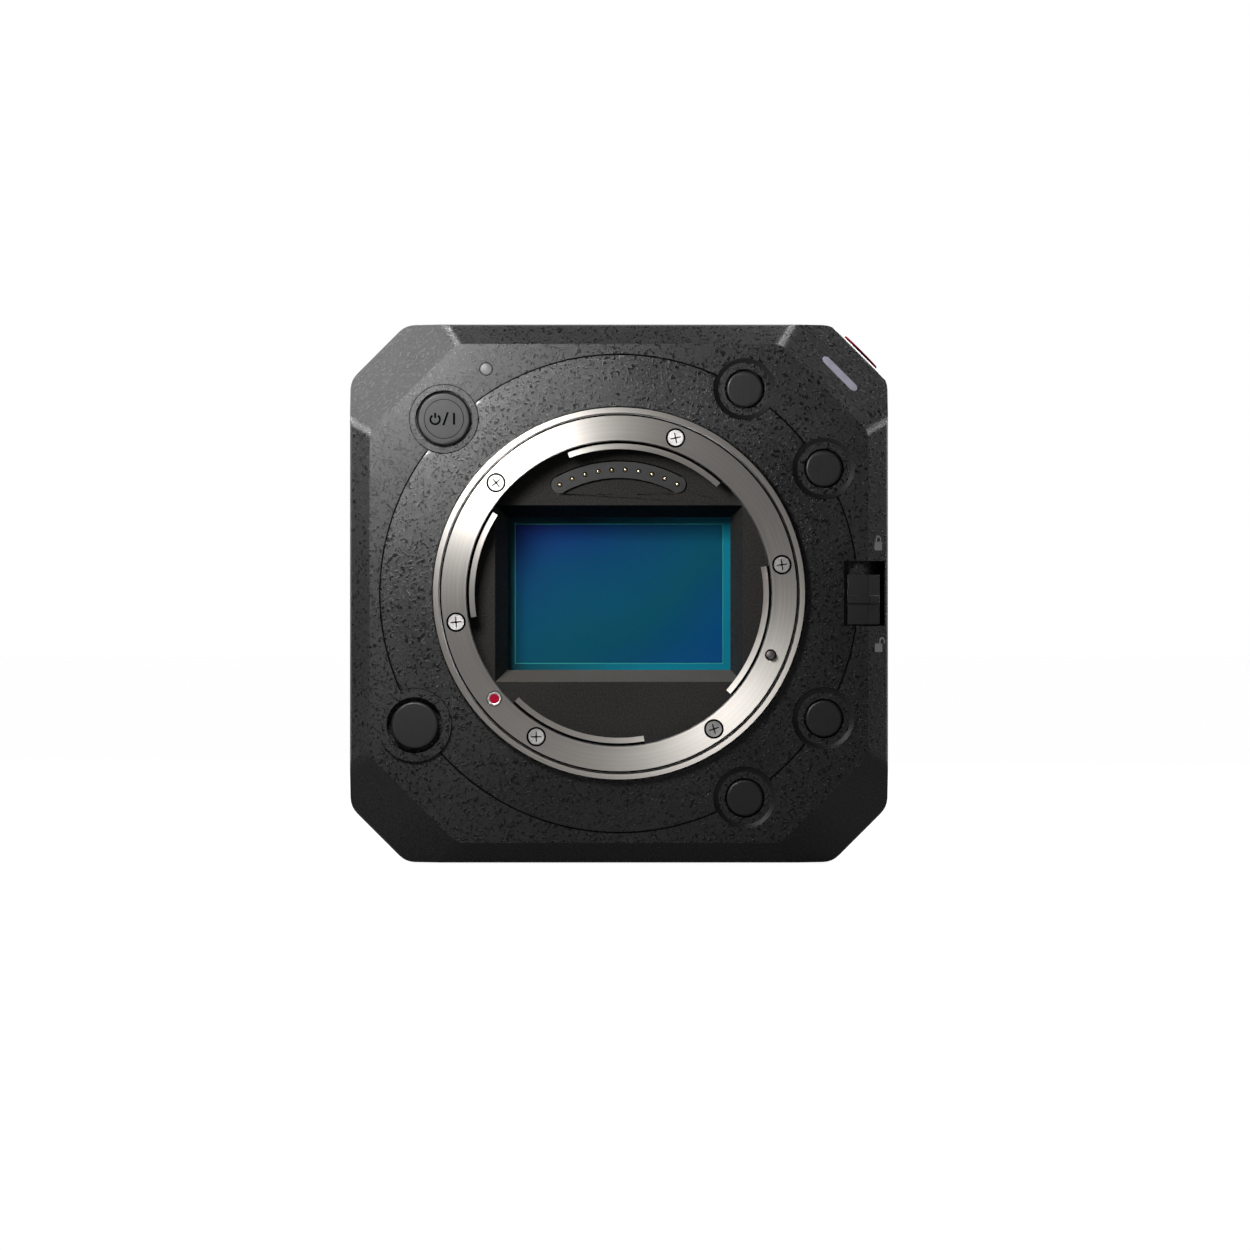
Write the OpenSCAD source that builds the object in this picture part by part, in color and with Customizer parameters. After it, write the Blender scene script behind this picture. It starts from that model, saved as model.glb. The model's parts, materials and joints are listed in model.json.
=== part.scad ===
// Box camera without a lens, seen with its lens mount towards -Y and its base on z = 0.
// All lengths are in millimetres.

/* [Body] */
// Width and height of the body over its flat sides
body_w = 93; // [91:0.5:100]
// Depth from the lens flange to the tips of the rear connectors
body_d = 78; // [76:0.5:90]
// Leg of the corner chamfers, seen from the front
chamfer_leg = 9.5; // [8:0.5:10.5]
// Radius where a chamfer meets a side
outline_r = 4; // [2:0.5:6]
// Wall thickness of the housings
wall = 2.4; // [2:0.1:2.8]
// Thickness of the front wall
front_wall = 3.4; // [3.2:0.1:4]
// Depth of the front housing behind its face
front_depth = 17; // [16:0.5:19]
// Depth of the rear housing in front of its face
rear_depth = 12; // [11:0.5:13]

/* [Front facets] */
// Width of the side bevels, seen from the front
bevel_w = 3.5; // [2.5:0.1:4]
// Depth of the side bevels
bevel_depth = 4.5; // [3.5:0.1:6]
// Leg of the corner cuts of the flat face
face_corner = 15; // [13:0.5:16]
// Depth at which the corner facets reach the chamfers
facet_depth = 10; // [8:0.5:12]
// Rounding radius of the ridges between bevels and facets
ridge_r = 5; // [2:0.5:8]
// Width of the bevel round the rear face
rear_bevel = 2; // [1:0.1:3]

/* [Lens mount] */
// Distance from the lens flange to the image sensor
flange_distance = 20; // [19:0.1:21]
// Height of the lens flange above the front face
flange_proud = 2; // [1.5:0.1:2.5]
// Outer radius of the mount ring
ring_r = 30.9; // [30.5:0.1:31]
// Radius of the throat of the mount ring
bore_r = 26.3; // [26:0.1:26.5]
// Radius at the inner edge of the claws
claw_r = 24.9; // [24.5:0.1:25.2]
// Depth of the claws behind the flange
claw_drop = 1.4; // [1:0.1:1.8]
// Thickness of the mount ring at the flange
ring_t = 2.2; // [2:0.1:2.6]
// Outer radius of the dark ring round the mount ring
lip_r = 32.2; // [32:0.1:32.8]
// Radius of the circle of mount screws
screw_circle_r = 28.5; // [28.3:0.1:28.8]
// Height of the resting lock pin above the flange
pin_proud = 1; // [0.5:0.1:1.4]

/* [Front controls] */
// Distance from the seam round the mount cover to the side bevels
cover_margin = 1.8; // [1.4:0.1:2.2]
// Radius of a function button
fn_r = 3.18; // [2.8:0.02:3.4]
// Radius of the shallow recess round a function button
fn_recess_r = 5.3; // [4.6:0.1:5.5]
// Travel of the function, power and record buttons
press_travel = 0.5; // [0.3:0.1:0.6]
// Radius of the power button
power_r = 4.65; // [4:0.05:4.8]
// Radius of the lens release button
release_r = 4.1; // [3.6:0.1:4.4]
// Height of the collar round the lens release button
collar_h = 0.9; // [0.5:0.1:1.2]
// Travel of the lens release button and the lock pin
release_travel = 1.6; // [1.2:0.1:1.8]
// Travel of the lock switch
lock_travel = 2.1; // [1.5:0.1:2.4]
// Radius of the red ring round the record button
record_r = 3.85; // [3.4:0.05:4]

/* [Sensor] */
// Width of the imaging area
image_w = 36; // [35:0.5:36]
// Height of the imaging area
image_h = 24; // [23:0.5:24]
// Width of the window in the light box
window_w = 38.7; // [38:0.1:39.5]
// Height of the window in the light box
window_h = 26.5; // [26:0.1:27]
// Thickness of the cover glass
glass_t = 1.2; // [1:0.1:1.4]

/* [Sides] */
// Width of the vent cover
vent_w = 36; // [34:0.5:37]
// Height of the vent cover
vent_h = 66; // [60:1:67]
// Width of the card door
door_w = 29; // [28.5:0.5:30]
// Height of the card door
door_h = 17; // [16.5:0.1:17.5]
// Width of the jack cover
flap_w = 8.4; // [8:0.1:8.6]
// Height of the jack cover
flap_h = 34; // [33:0.5:36]
// Side of the square fan frame
fan_w = 32; // [28:0.5:33]
// Travel of the cursor buttons
cursor_travel = 0.4; // [0.2:0.05:0.45]

/* [Top and base] */
// Radius of the tapped bore in a threaded insert
thread_r = 2.55; // [2.4:0.05:2.7]
// Depth of a threaded insert
insert_depth = 7; // [6:0.5:8]
// Distance between the two threaded inserts in the top
top_insert_pitch = 42; // [40:0.5:44]
// Distance between the two threaded inserts in the base
base_insert_pitch = 14; // [13:0.5:15]
// Inner width of the accessory shoe
shoe_w = 18.8; // [18.6:0.1:19]

/* [Rear] */
// Height of the connector tips above the rear face
connector_proud = 3.5; // [2.5:0.5:4]
// Width of the battery bay
bay_w = 44; // [43:0.5:45]
// Distance from the battery bay and the connector bay to the top and the base
bay_margin = 13; // [12.5:0.5:13.5]
// Depth of the battery bay
bay_depth = 6; // [5.5:0.1:6.4]
// Distance between two coaxial jacks
coax_pitch = 14.4; // [13.6:0.1:15]
// Travel of the battery latch
latch_travel = 2.5; // [1.5:0.1:3]

/* [Hidden] */
$fn = 96;

// Overrun of the cuts, running clearance, fitting clearance and seam width
over = 1;
run_gap = 0.06;
fit_gap = 0.1;
seam = 0.2;

// Places along the depth, from the front backwards
tip_y = -(body_d + pin_proud) / 2;
flange_y = tip_y + pin_proud;
face_y = flange_y + flange_proud;
ring_back_y = flange_y + ring_t;
front_in_y = face_y + front_wall;
front_split_y = face_y + front_depth;
sensor_y = flange_y + flange_distance;
rear_tip_y = -tip_y;
rear_y = rear_tip_y - connector_proud;
rear_split_y = rear_y - rear_depth;
rear_in_y = rear_y - wall;

// Distances across the body
half = body_w / 2;
mid_z = half;
inner = half - wall;
face_w = body_w - 2 * bevel_w;
face_half = face_w / 2;
chamfer_d = (body_w - chamfer_leg) / sqrt(2);
corner_d = (face_w - face_corner) / sqrt(2);
cover_r = face_half - cover_margin;
bevel_slope = bevel_w / bevel_depth;
facet_slope = (chamfer_d - corner_d) / facet_depth;
facet_tilt = atan(facet_slope);

// Front cavity
cavity_step = 8;
cavity_front_half = face_half - front_wall;
cavity_front_d = corner_d + facet_slope * front_wall - wall / cos(facet_tilt);
cavity_rear_d = corner_d + facet_slope * cavity_step - wall / cos(facet_tilt);

// Mount parts
screw_angles = [70, 138, 190, 240, 305, 10];
claw_spans = [[47.5, 110], [147.2, 189.2], [226, 279.8], [318, 370.5]];
screw_head_r = 1.4;
screw_seat_r = 1.7;
screw_head_t = 0.8;
screw_shank_r = 0.8;
shank_hole_r = screw_shank_r + run_gap;
inner_screw_len = 3;
cross_share = 6.5;
claw_t = 1.6;
collar_t = 1.3;
lip_drop = 0.4;
lip_gap = 0.25;
lip_in_r = ring_r + lip_gap;
cover_t = 1;
cover_hole_r = lip_r + fit_gap;
spring_t = 0.25;
spring_rim = 0.4;
spring_r = bore_r + collar_t + spring_rim;
spring_reach = 1.2;
spring_tab_angle = 6;
boss_r = lip_r - seam;
bracket_gap = 1.6;
bracket_r = cavity_front_half - bracket_gap;
bracket_t = 2.5;
bracket_back_y = front_in_y + bracket_t;
bracket_bore_r = spring_r + spring_rim;
post_r = 2.5;
post_inset = 3;
post_circle_r = bracket_r - post_inset;
post_angles = [90, 200, 350];
index_angle = 220.2;
index_inset = 0.4;
index_r = screw_circle_r - index_inset;
index_place = index_r * [cos(index_angle), sin(index_angle)];
index_post_r = 1.3;
index_mark_r = 0.8;
index_mark_t = 0.5;
pin_angle = 337.9;
pin_inset = 0.3;
pin_circle_r = screw_circle_r - pin_inset;
pin_place = pin_circle_r * [cos(pin_angle), sin(pin_angle)];
pin_r = 0.75;
pin_hole_r = 1;
pin_room = 0.2;
lever_gap = 0.3;
lever_t = 0.8;
lever_w = 3;
lever_room = 0.6;
lever_pad_r = 2;
lever_arm_w = 2.8;

// Light box and sensor parts
box_r = bracket_bore_r - seam;
box_wall = 1.1;
box_front_y = flange_y + claw_drop + claw_t + spring_t;
box_floor_depth = 7;
box_floor_y = flange_y + box_floor_depth;
box_floor_t = 1.5;
box_flange_t = 1;
box_flange_w = 1.6;
box_flange_r = bracket_bore_r + box_flange_w;
lever_in_r = box_flange_r + lever_room;
lever_out_r = lever_in_r + lever_w;
funnel_flare_w = 4.1;
funnel_flare_h = 4;
funnel_w = window_w + funnel_flare_w;
funnel_h = window_h + funnel_flare_h;
funnel_wall = 1.2;
window_ahead = 4.5;
window_y = sensor_y - window_ahead;
glass_border = 2.4;
rim_h = 1;
package_border = 1.2;
image_step = 0.05;
package_t = 2;
package_back_y = sensor_y + package_t;
glass_back_y = sensor_y - rim_h;
glass_front_y = glass_back_y - glass_t;
funnel_back_y = glass_front_y - fit_gap;
package_w = window_w + 2 * (glass_border + package_border);
package_h = window_h + 2 * (glass_border + package_border);
contact_inset = 3.5;
contact_r = claw_r - contact_inset;
contact_band = 3;
contact_first_angle = 62;
contact_step_angle = 6.28;
contact_count = 10;
contact_proud = 0.5;
contact_sink = 0.8;
contact_pin_r = 0.35;
contact_pin_proud = 0.3;
sensor_plate_t = 1.5;
sensor_board_t = 1.6;
spreader_t = 2;
sink_base_t = 2;
sink_w = 52;
sink_h = 34;
fin_t = 1.2;
fin_count = 9;

// Middle frame
rear_room = 20;
bulk_back_y = rear_y - rear_room;
bulk_t = 2;
bulk_front_y = bulk_back_y - bulk_t;
bulk_drop = 10;
board_t = 1.6;
board_back_y = bulk_back_y + board_t;
mid_y = (front_split_y + rear_split_y) / 2;
skin_t = 1;
ledge = 2;

// Vent side
vent_y = front_split_y + ledge + vent_w / 2;
vent_slot_w = 28;
vent_slot_h = 2;
vent_slot_pitch = 4;
vent_slot_count = 14;
fan_t = 6;
fan_room = 0.5;
fan_y = front_split_y + fan_room + fan_w / 2;
fan_wall = 1;
fan_axle_r = 1;
fan_hub_r = 6;
fan_blades = 9;
fan_back_t = 1.2;
fan_arm_w = 2;

// Control side
panel_y0 = front_split_y + ledge;
panel_y1 = rear_split_y - ledge;
panel_inset = 2.5;
panel_half_h = half - chamfer_leg - panel_inset;
cursor_back = 13;
cursor_y = front_split_y + cursor_back;
cursor_below = 17.5;
cursor_z = panel_half_h - cursor_below;
cursor_pitch = 7.6;
cursor_set_r = 3.2;
cursor_arrow_r = 2.1;
cursor_sink = 0.1;
cursor_flange = 0.5;
key_board_t = 1.2;
key_board_margin = 1.6;
door_ahead = 14;
door_y = bulk_front_y - door_ahead;
door_above = 9;
door_z = door_above - panel_half_h;
door_t = 1;
barrel_r = 0.9;
hinge_pin_r = 0.45;
slot_w = 24.6;
slot_h = 2.6;
slot_pitch = 6;
slot_reach = 29;
slot_wall = 1.2;
slot_margin = 0.5;
flap_ahead = 4.6;
flap_y = bulk_front_y - flap_ahead;
flap_below = 21.5;
flap_z = panel_half_h - flap_below;
jack_r = 1.8;
jack_pitch = 10;
jack_body_w = 6;
jack_body_h = 8;
jack_body_len = 13;

// Top and base
plate_t = 1.2;
plate_side = 16.5;
plate_half_w = half - plate_side;
plate_inset = 3.25;
plate_len = rear_split_y - front_split_y - 2 * plate_inset;
plate_ahead = 1;
plate_y = mid_y - plate_ahead;
plate_ledge = 2;
tub_inset = 3;
tub_len = plate_len - 2 * tub_inset;
shoe_depth = 4.4;
shoe_t = 0.8;
shoe_lip = 3;
shoe_lip_t = 1.2;
shoe_len = 18.5;
tub_wall = 1.6;
insert_r = 4;
insert_wall = 1.2;
insert_floor = 1;

// Rear
bay_side = 12.5;
bay_x = half - bay_side - bay_w / 2;
bay_wall = 1.6;
bay_h = body_w - 2 * bay_margin;
rail_free = 11;
rail_len = bay_h - rail_free;
rail_side = 3;
rail_w = bay_w - 2 * rail_side;
rail_t = 1.4;
rail_h = 3.2;
rail_lip = 1.6;
battery_plate_t = 1.4;
terminal_w = 18;
terminal_h = 8;
terminal_t = 2.2;
terminal_above = 15.5;
terminal_z = terminal_above - bay_h / 2;
blade_w = 1;
blade_count = 5;
latch_w = 12;
latch_h = 4;
latch_t = 2.4;
latch_above = 7;
latch_z = latch_above - bay_h / 2;
port_w = 29;
port_side = 4.5;
port_x = port_side + port_w / 2 - half;
port_depth = 4;
port_floor_t = 2.4;
panel_t = 1.2;
panel_front_y = rear_y - port_depth + panel_t;
coax_below = 14.1;
coax_z = bay_h / 2 - coax_below;
coax_r = 4.8;
coax_bore_r = 4.2;
coax_core_r = 2.3;
coax_flange_r = 6.4;
coax_flange_t = 1;
coax_body_r = 5.2;
coax_lug_r = 1;
coax_lug_proud = 0.9;
coax_lug_back = 2.2;
coax_contact_r = 0.6;
net_below = 22.9;
net_z = coax_z - net_below;
net_w = 16;
net_h = 13.6;
net_hole_w = 11.8;
net_hole_h = 8.4;
net_key_w = 6;
net_depth = 13;
port_sink = 0.6;
net_front_y = rear_y - port_sink;
video_below = 14;
video_z = net_z - video_below;
video_w = 15.4;
video_h = 6;
video_key = 1.4;
shell_t = 0.5;
small_below = 10.5;
small_z = video_z - small_below;
data_aside = 6.5;
data_x = port_x - data_aside;
data_w = 9.4;
data_h = 3.4;
supply_aside = 7;
supply_x = port_x + supply_aside;
supply_w = 9;
supply_hole_r = 2.9;
supply_pin_r = 0.8;
shell_depth = 9;
shell_front_y = panel_front_y + port_sink;
shell_back_y = rear_in_y - shell_depth;
case_inset = 8.5;
case_screw_place = half - case_inset;
case_head_r = 1.7;
case_head_t = 1;
case_shank_r = 0.9;
case_shank_len = 4;
case_boss_r = 2.6;
case_boss_t = 3;

// Front controls: places in the face from the centre of the mount, as shares of half the flat face
fn_angles = [58.4, 31.4, -31.4, -58.4];
fn_circle_r = cover_r + seam;
fn_places = [for (a = fn_angles) fn_circle_r * [cos(a), sin(a)]];
power_shares = [-0.702, 0.7];
release_shares = [-0.819, -0.528];
status_shares = [-0.533, 0.9];
power_place = face_half * power_shares;
release_place = face_half * release_shares;
status_place = face_half * status_shares;
fn_gap = 0.27;
fn_recess = 0.5;
fn_sink = 0.25;
power_gap = 0.3;
power_line_r = 5.95;
power_sink = 0.1;
release_hole_r = 4.85;
release_collar_r = 6.3;
cap_t = 1.9;
cap_round = 0.4;
stem_r = 1.5;
stem_past = 0.5;
status_r = 1;
corner_angle = 45;
tally_share = 0.416;
tally_shift = 0.14;
tally_d = corner_d + tally_share * (chamfer_d - corner_d);
tally_place = tally_d * direction(corner_angle) + tally_shift * direction(-corner_angle);
tally_len = 8.1;
tally_w = 1.85;
tally_t = 1.4;
lock_inwards = 4.2;
lock_outwards = 2.9;
lock_in_x = face_half - lock_inwards;
lock_out_x = face_half + lock_outwards;
lock_half_h = 5.6;
lock_deep = 1.6;
lock_in_gap = 0.6;
lock_out_gap = 0.9;
lock_slide_in_x = lock_in_x + lock_in_gap;
lock_slide_out_x = lock_out_x - lock_out_gap;
lock_end_gap = 0.25;
lock_slide_h = 2 * (lock_half_h - lock_end_gap) - lock_travel;
lock_rib_w = 1.3;
lock_rib_h = 0.5;
record_back = 9;
record_y = front_split_y + record_back;
record_proud = 0.6;
record_ring_w = 0.75;
record_cap_r = record_r - record_ring_w - fit_gap;

// Shapes and placing

// Extrudes a shape drawn in X and Z from y0 back to y1, round the mount axis
module slab(y0, y1) {
    translate([0, y1, mid_z])
        rotate([90, 0, 0])
            linear_extrude(y1 - y0)
                children();
}

// Extrudes a shape drawn in Y and Z from x0 to x1
module side_slab(x0, x1) {
    translate([x0, 0, mid_z])
        rotate([90, 0, 90])
            linear_extrude(x1 - x0)
                children();
}

// Extrudes a shape drawn in X and Y from z0 to z1
module level_slab(z0, z1) {
    translate([0, 0, z0])
        linear_extrude(z1 - z0)
            children();
}

// A round bar along Y at a place in the face
module bar(place, r, y0, y1) {
    translate([place[0], y0, mid_z + place[1]])
        rotate([-90, 0, 0])
            cylinder(h = y1 - y0, r = r);
}

// A round bar along X
module cross_bar(y, z, r, x0, x1) {
    translate([x0, y, mid_z + z])
        rotate([0, 90, 0])
            cylinder(h = x1 - x0, r = r);
}

// A box given by its two limits on each axis, with z from the centre of the body
module block(x, y, z) {
    translate([x[0], y[0], mid_z + z[0]])
        cube([x[1] - x[0], y[1] - y[0], z[1] - z[0]]);
}

// The direction of an angle in the face
function direction(a) = [cos(a), sin(a)];

// Points of an arc
function arc(c, r, a0, a1, n = 4) = [for (i = [0:n]) c + r * direction(a0 + (a1 - a0) * i / n)];

// An octagon with its flats at h and its corners cut at distance d, rounded with radius r
function octagon(h, d, r) =
    let (
        cut = 2 * h - d * sqrt(2),
        k = r * (sqrt(2) - 1),
        quarter = concat(
            arc([h - r, h - cut - k], r, 0, 45),
            arc([h - cut - k, h - r], r, 45, 90)
        ),
        n = len(quarter) - 1
    )
    concat(
        quarter,
        [for (i = [n:-1:0]) [-quarter[i][0], quarter[i][1]]],
        [for (p = quarter) -p],
        [for (i = [n:-1:0]) [quarter[i][0], -quarter[i][1]]]
    );

// A wedge of a circle between two angles
function wedge(r, a0, a1, n = 6) = concat([[0, 0]], arc([0, 0], r, a0, a1, n));

// A part of a flat ring between two radii and two angles
module ring_part(r0, r1, a0, a1) {
    intersection() {
        difference() {
            circle(r1);
            circle(r0);
        }
        polygon(wedge(2 * r1, a0, a1));
    }
}

// A rectangle centred on a place
module plate(place, w, h) {
    translate([place[0] - w / 2, place[1] - h / 2])
        square([w, h]);
}

// A slot with round ends
module stadium(w, h) {
    square([w - h, h], center = true);
    for (s = [-1, 1])
        translate([s * (w - h) / 2, 0])
            circle(h / 2);
}

// The outline of the body
module outline() {
    polygon(octagon(half, chamfer_d, outline_r));
}

// The outline of the inside of the body
module inside() {
    polygon(octagon(inner, chamfer_d - wall, outline_r - wall / 2));
}

// Takes away what lies in front of a sloping plane; d is its distance from the axis at depth 0
module facet_cut(angle, d, slope) {
    tilt = atan(slope);
    reach = 2 * half;
    translate([0, face_y, mid_z])
        rotate([0, -angle, 0])
            translate([d, 0, 0])
                rotate([0, 0, -90 - tilt])
                    translate([-reach, 0, -reach])
                        cube([2 * reach, reach, 2 * reach]);
}

// Ridge between a side bevel and a corner facet: its two ends, and the planes that round it
ridge_a = [face_half, face_half - face_corner];
ridge_b_x = half;
ridge_b_z = (corner_d + facet_slope * bevel_depth) * sqrt(2) - half;
ridge_turn_angle = 45;
ridge_bend = acos(
    (bevel_slope * facet_slope + cos(ridge_turn_angle))
    / (norm([1, bevel_slope]) * norm([1, facet_slope]))
);
ridge_shares = [0.25, 0.5, 0.75];

function ridge_d(a) = ridge_a[0] * cos(a) + ridge_a[1] * sin(a);
function ridge_slope(a) = (ridge_b_x * cos(a) + ridge_b_z * sin(a) - ridge_d(a)) / bevel_depth;
function ridge_trim(share) =
    ridge_r * (cos((share - 0.5) * ridge_bend) / cos(ridge_bend / 2) - 1);

// The sloping planes round the front face
module front_facets() {
    for (q = [0:3]) {
        facet_cut(q * 90, face_half, bevel_slope);
        facet_cut(q * 90 + 45, corner_d, facet_slope);
        for (share = ridge_shares, side = [-1, 1]) {
            a = share * ridge_turn_angle;
            slope = ridge_slope(a);
            d = ridge_d(a) - ridge_trim(share) * norm([1, slope]);
            facet_cut(q * 90 + side * a, d, slope);
        }
    }
}

// A round button cap along Y with a softened front edge
module cap(place, r, y0, y1) {
    soft = cap_round;
    translate([place[0], y0, mid_z + place[1]])
        rotate([-90, 0, 0])
            rotate_extrude()
                polygon(concat(
                    [[0, 0]],
                    arc([r - soft, soft], soft, -90, 0),
                    [[r, y1 - y0], [0, y1 - y0]]
                ));
}

// A cap with its stem through the front wall
module front_button(place, r, y0) {
    cap(place, r, y0, y0 + cap_t);
    bar(place, stem_r, y0 + cap_t, front_in_y + stem_past);
}

function button_floor_y(y0) = y0 + cap_t + press_travel + fit_gap;

fn_y = face_y + fn_sink;
power_y = face_y + power_sink;
release_y = face_y - collar_h + fit_gap;
release_floor_y = release_y + cap_t + release_travel + fit_gap;

// Front housing

module front_housing() {
    color("#3a3a3c")
        difference() {
            union() {
                difference() {
                    slab(face_y, front_split_y)
                        outline();
                    front_facets();
                }
                bar(release_place, release_collar_r, face_y - collar_h, face_y + over);
            }
            slab(front_in_y, face_y + cavity_step)
                polygon(octagon(cavity_front_half, cavity_front_d, outline_r - wall / 2));
            slab(face_y + cavity_step, front_split_y + over)
                polygon(octagon(inner, cavity_rear_d, outline_r - wall / 2));
            cover_recess();
            bar([0, 0], cover_hole_r, face_y - over, front_in_y + over);
            for (p = fn_places) {
                bar(p, fn_recess_r, face_y - over, face_y + fn_recess);
                bar(p, fn_r + fn_gap, face_y - over, button_floor_y(fn_y));
                bar(p, stem_r + run_gap, face_y, front_in_y + over);
            }
            bar(power_place, power_r + power_gap, face_y - over, button_floor_y(power_y));
            bar(power_place, stem_r + run_gap, face_y, front_in_y + over);
            bar(release_place, release_hole_r, face_y - collar_h - over, release_floor_y);
            bar(release_place, stem_r + run_gap, face_y, front_in_y + over);
            bar(status_place, status_r + run_gap, face_y - over, front_in_y + over);
            on_facet(-tally_t)
                linear_extrude(tally_t + over)
                    stadium(tally_len + 2 * fit_gap, tally_w + 2 * fit_gap);
            level_slab(mid_z - lock_half_h, mid_z + lock_half_h)
                lock_pocket();
        }
}

// The recess that the mount cover lies in, with the islands of the buttons left standing
module cover_recess() {
    slab(face_y - over, face_y + cover_t)
        difference() {
            circle(cover_r + seam / 2);
            button_islands(0);
        }
}

// The circles of the button surrounds that reach into the mount cover
module button_islands(gap) {
    for (p = fn_places)
        translate(p)
            circle(fn_recess_r + gap);
    translate(power_place)
        circle(power_line_r + gap);
    translate(release_place)
        circle(release_collar_r + gap);
}

// Puts a piece on the upper right facet, its z axis along the facet's normal
module on_facet(out) {
    depth = (tally_d - corner_d) / facet_slope;
    translate([tally_place[0], face_y + depth, mid_z + tally_place[1]])
        rotate([0, 45, 0])
            rotate([facet_tilt, 0, 0])
                translate([0, 0, out])
                    children();
}

// The pocket of the lock switch, across the face and the side bevel
module lock_pocket() {
    slope = 1 / bevel_slope;
    bend = face_half - lock_deep * tan((90 - atan(bevel_slope)) / 2);
    polygon([
        [lock_in_x, face_y - over],
        [lock_in_x, face_y + lock_deep],
        [bend, face_y + lock_deep],
        [lock_out_x, face_y + lock_deep + (lock_out_x - bend) * slope],
        [lock_out_x, face_y - over]
    ]);
}

// The cross-section of the lock slider: top and bottom follow the face and the bevel
module lock_section(proud) {
    slope = 1 / bevel_slope;
    turn = tan((90 - atan(bevel_slope)) / 2);
    top = fit_gap - proud;
    low = lock_deep - fit_gap;
    top_bend = face_half - top * turn;
    low_bend = face_half - low * turn;
    polygon([
        [lock_slide_in_x, face_y + top],
        [lock_slide_in_x, face_y + low],
        [low_bend, face_y + low],
        [lock_slide_out_x, face_y + low + (lock_slide_out_x - low_bend) * slope],
        [lock_slide_out_x, face_y + top + (lock_slide_out_x - top_bend) * slope],
        [top_bend, face_y + top]
    ]);
}

module lock_switch() {
    low = mid_z - lock_half_h + lock_end_gap;
    middle = low + lock_slide_h / 2;
    color("#1a1a1b") {
        level_slab(low, middle - lock_rib_w / 2)
            lock_section(0);
        level_slab(middle - lock_rib_w / 2, middle + lock_rib_w / 2)
            lock_section(lock_rib_h);
        level_slab(middle + lock_rib_w / 2, low + lock_slide_h)
            lock_section(0);
    }
}

module mount_cover() {
    color("#3d3d3f")
        difference() {
            slab(face_y, face_y + cover_t)
                difference() {
                    circle(cover_r - seam / 2);
                    circle(cover_hole_r);
                    button_islands(seam / 2);
                }
            level_slab(mid_z - lock_half_h, mid_z + lock_half_h)
                lock_pocket();
        }
}

// Lens mount

module mount_lip() {
    color("#55524f")
        slab(flange_y + lip_drop, ring_back_y)
            difference() {
                circle(lip_r);
                circle(lip_in_r);
            }
}

module claw_shape() {
    for (c = claw_spans)
        ring_part(claw_r, bore_r + collar_t, c[0], c[1]);
}

module mount_ring() {
    claw_y = flange_y + claw_drop;
    color("#c9c5bf")
        difference() {
            union() {
                slab(flange_y, ring_back_y)
                    difference() {
                        circle(ring_r);
                        circle(bore_r);
                    }
                slab(claw_y, claw_y + claw_t) {
                    claw_shape();
                    difference() {
                        circle(bore_r + collar_t);
                        circle(bore_r);
                    }
                }
            }
            for (a = screw_angles) {
                place = screw_circle_r * direction(a);
                bar(place, screw_seat_r, flange_y - over, flange_y + screw_head_t);
                bar(place, shank_hole_r, flange_y, ring_back_y + over);
            }
            bar(pin_place, pin_hole_r, flange_y - over, ring_back_y + over);
            bar(index_place, index_post_r + run_gap, flange_y - over, ring_back_y + over);
        }
}

module mount_spring() {
    y0 = flange_y + claw_drop + claw_t;
    color("#9c9a94")
        slab(y0, y0 + spring_t)
            difference() {
                union() {
                    difference() {
                        circle(spring_r);
                        circle(bore_r + spring_t);
                    }
                    for (c = claw_spans) {
                        middle = (c[0] + c[1]) / 2;
                        ring_part(
                            bore_r - spring_reach, bore_r + collar_t,
                            middle - spring_tab_angle, middle + spring_tab_angle
                        );
                    }
                }
                translate(pin_place)
                    circle(pin_r + pin_room);
            }
}

// A screw along Y with a cross recess in its head
module face_screw(place, y0, head_r, head_t, shank_r, length) {
    cross_w = head_r / 5;
    cross_len = cross_w * cross_share;
    difference() {
        union() {
            bar(place, head_r, y0, y0 + head_t);
            bar(place, shank_r, y0 + head_t, y0 + head_t + length);
        }
        slab(y0 - over, y0 + head_t / 2) {
            plate(place, cross_w, cross_len);
            plate(place, cross_len, cross_w);
        }
    }
}

module mount_screws() {
    color("#b8b5b0")
        for (a = screw_angles)
            face_screw(
                screw_circle_r * direction(a), flange_y + fit_gap / 2, screw_head_r,
                screw_head_t - fit_gap / 2, screw_shank_r, ring_t
            );
}

module mount_bracket() {
    color("#8d8f92")
        difference() {
            union() {
                bar([0, 0], boss_r, ring_back_y, front_in_y);
                bar([0, 0], bracket_r, front_in_y, bracket_back_y);
                for (a = post_angles)
                    bar(post_circle_r * direction(a), post_r, bracket_back_y - over, package_back_y);
            }
            bar([0, 0], bracket_bore_r, ring_back_y - over, bracket_back_y + over);
            for (a = screw_angles)
                bar(
                    screw_circle_r * direction(a), shank_hole_r,
                    ring_back_y - over, bracket_back_y + over
                );
            bar(pin_place, pin_r + run_gap, ring_back_y - over, bracket_back_y + over);
            for (a = post_angles)
                bar(
                    post_circle_r * direction(a), shank_hole_r,
                    package_back_y - inner_screw_len, package_back_y + over
                );
        }
}

module index_post() {
    color("#d9d9d9")
        difference() {
            bar(index_place, index_post_r, flange_y, ring_back_y);
            bar(index_place, index_mark_r + run_gap, flange_y - over, flange_y + index_mark_t);
        }
}

module index_mark() {
    color("#b3122a")
        bar(index_place, index_mark_r, flange_y, flange_y + index_mark_t);
}

lever_y = bracket_back_y + box_flange_t + lever_gap;

module lock_pin() {
    color("#8c8a86")
        bar(pin_place, pin_r, flange_y - pin_proud, lever_y);
}

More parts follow.
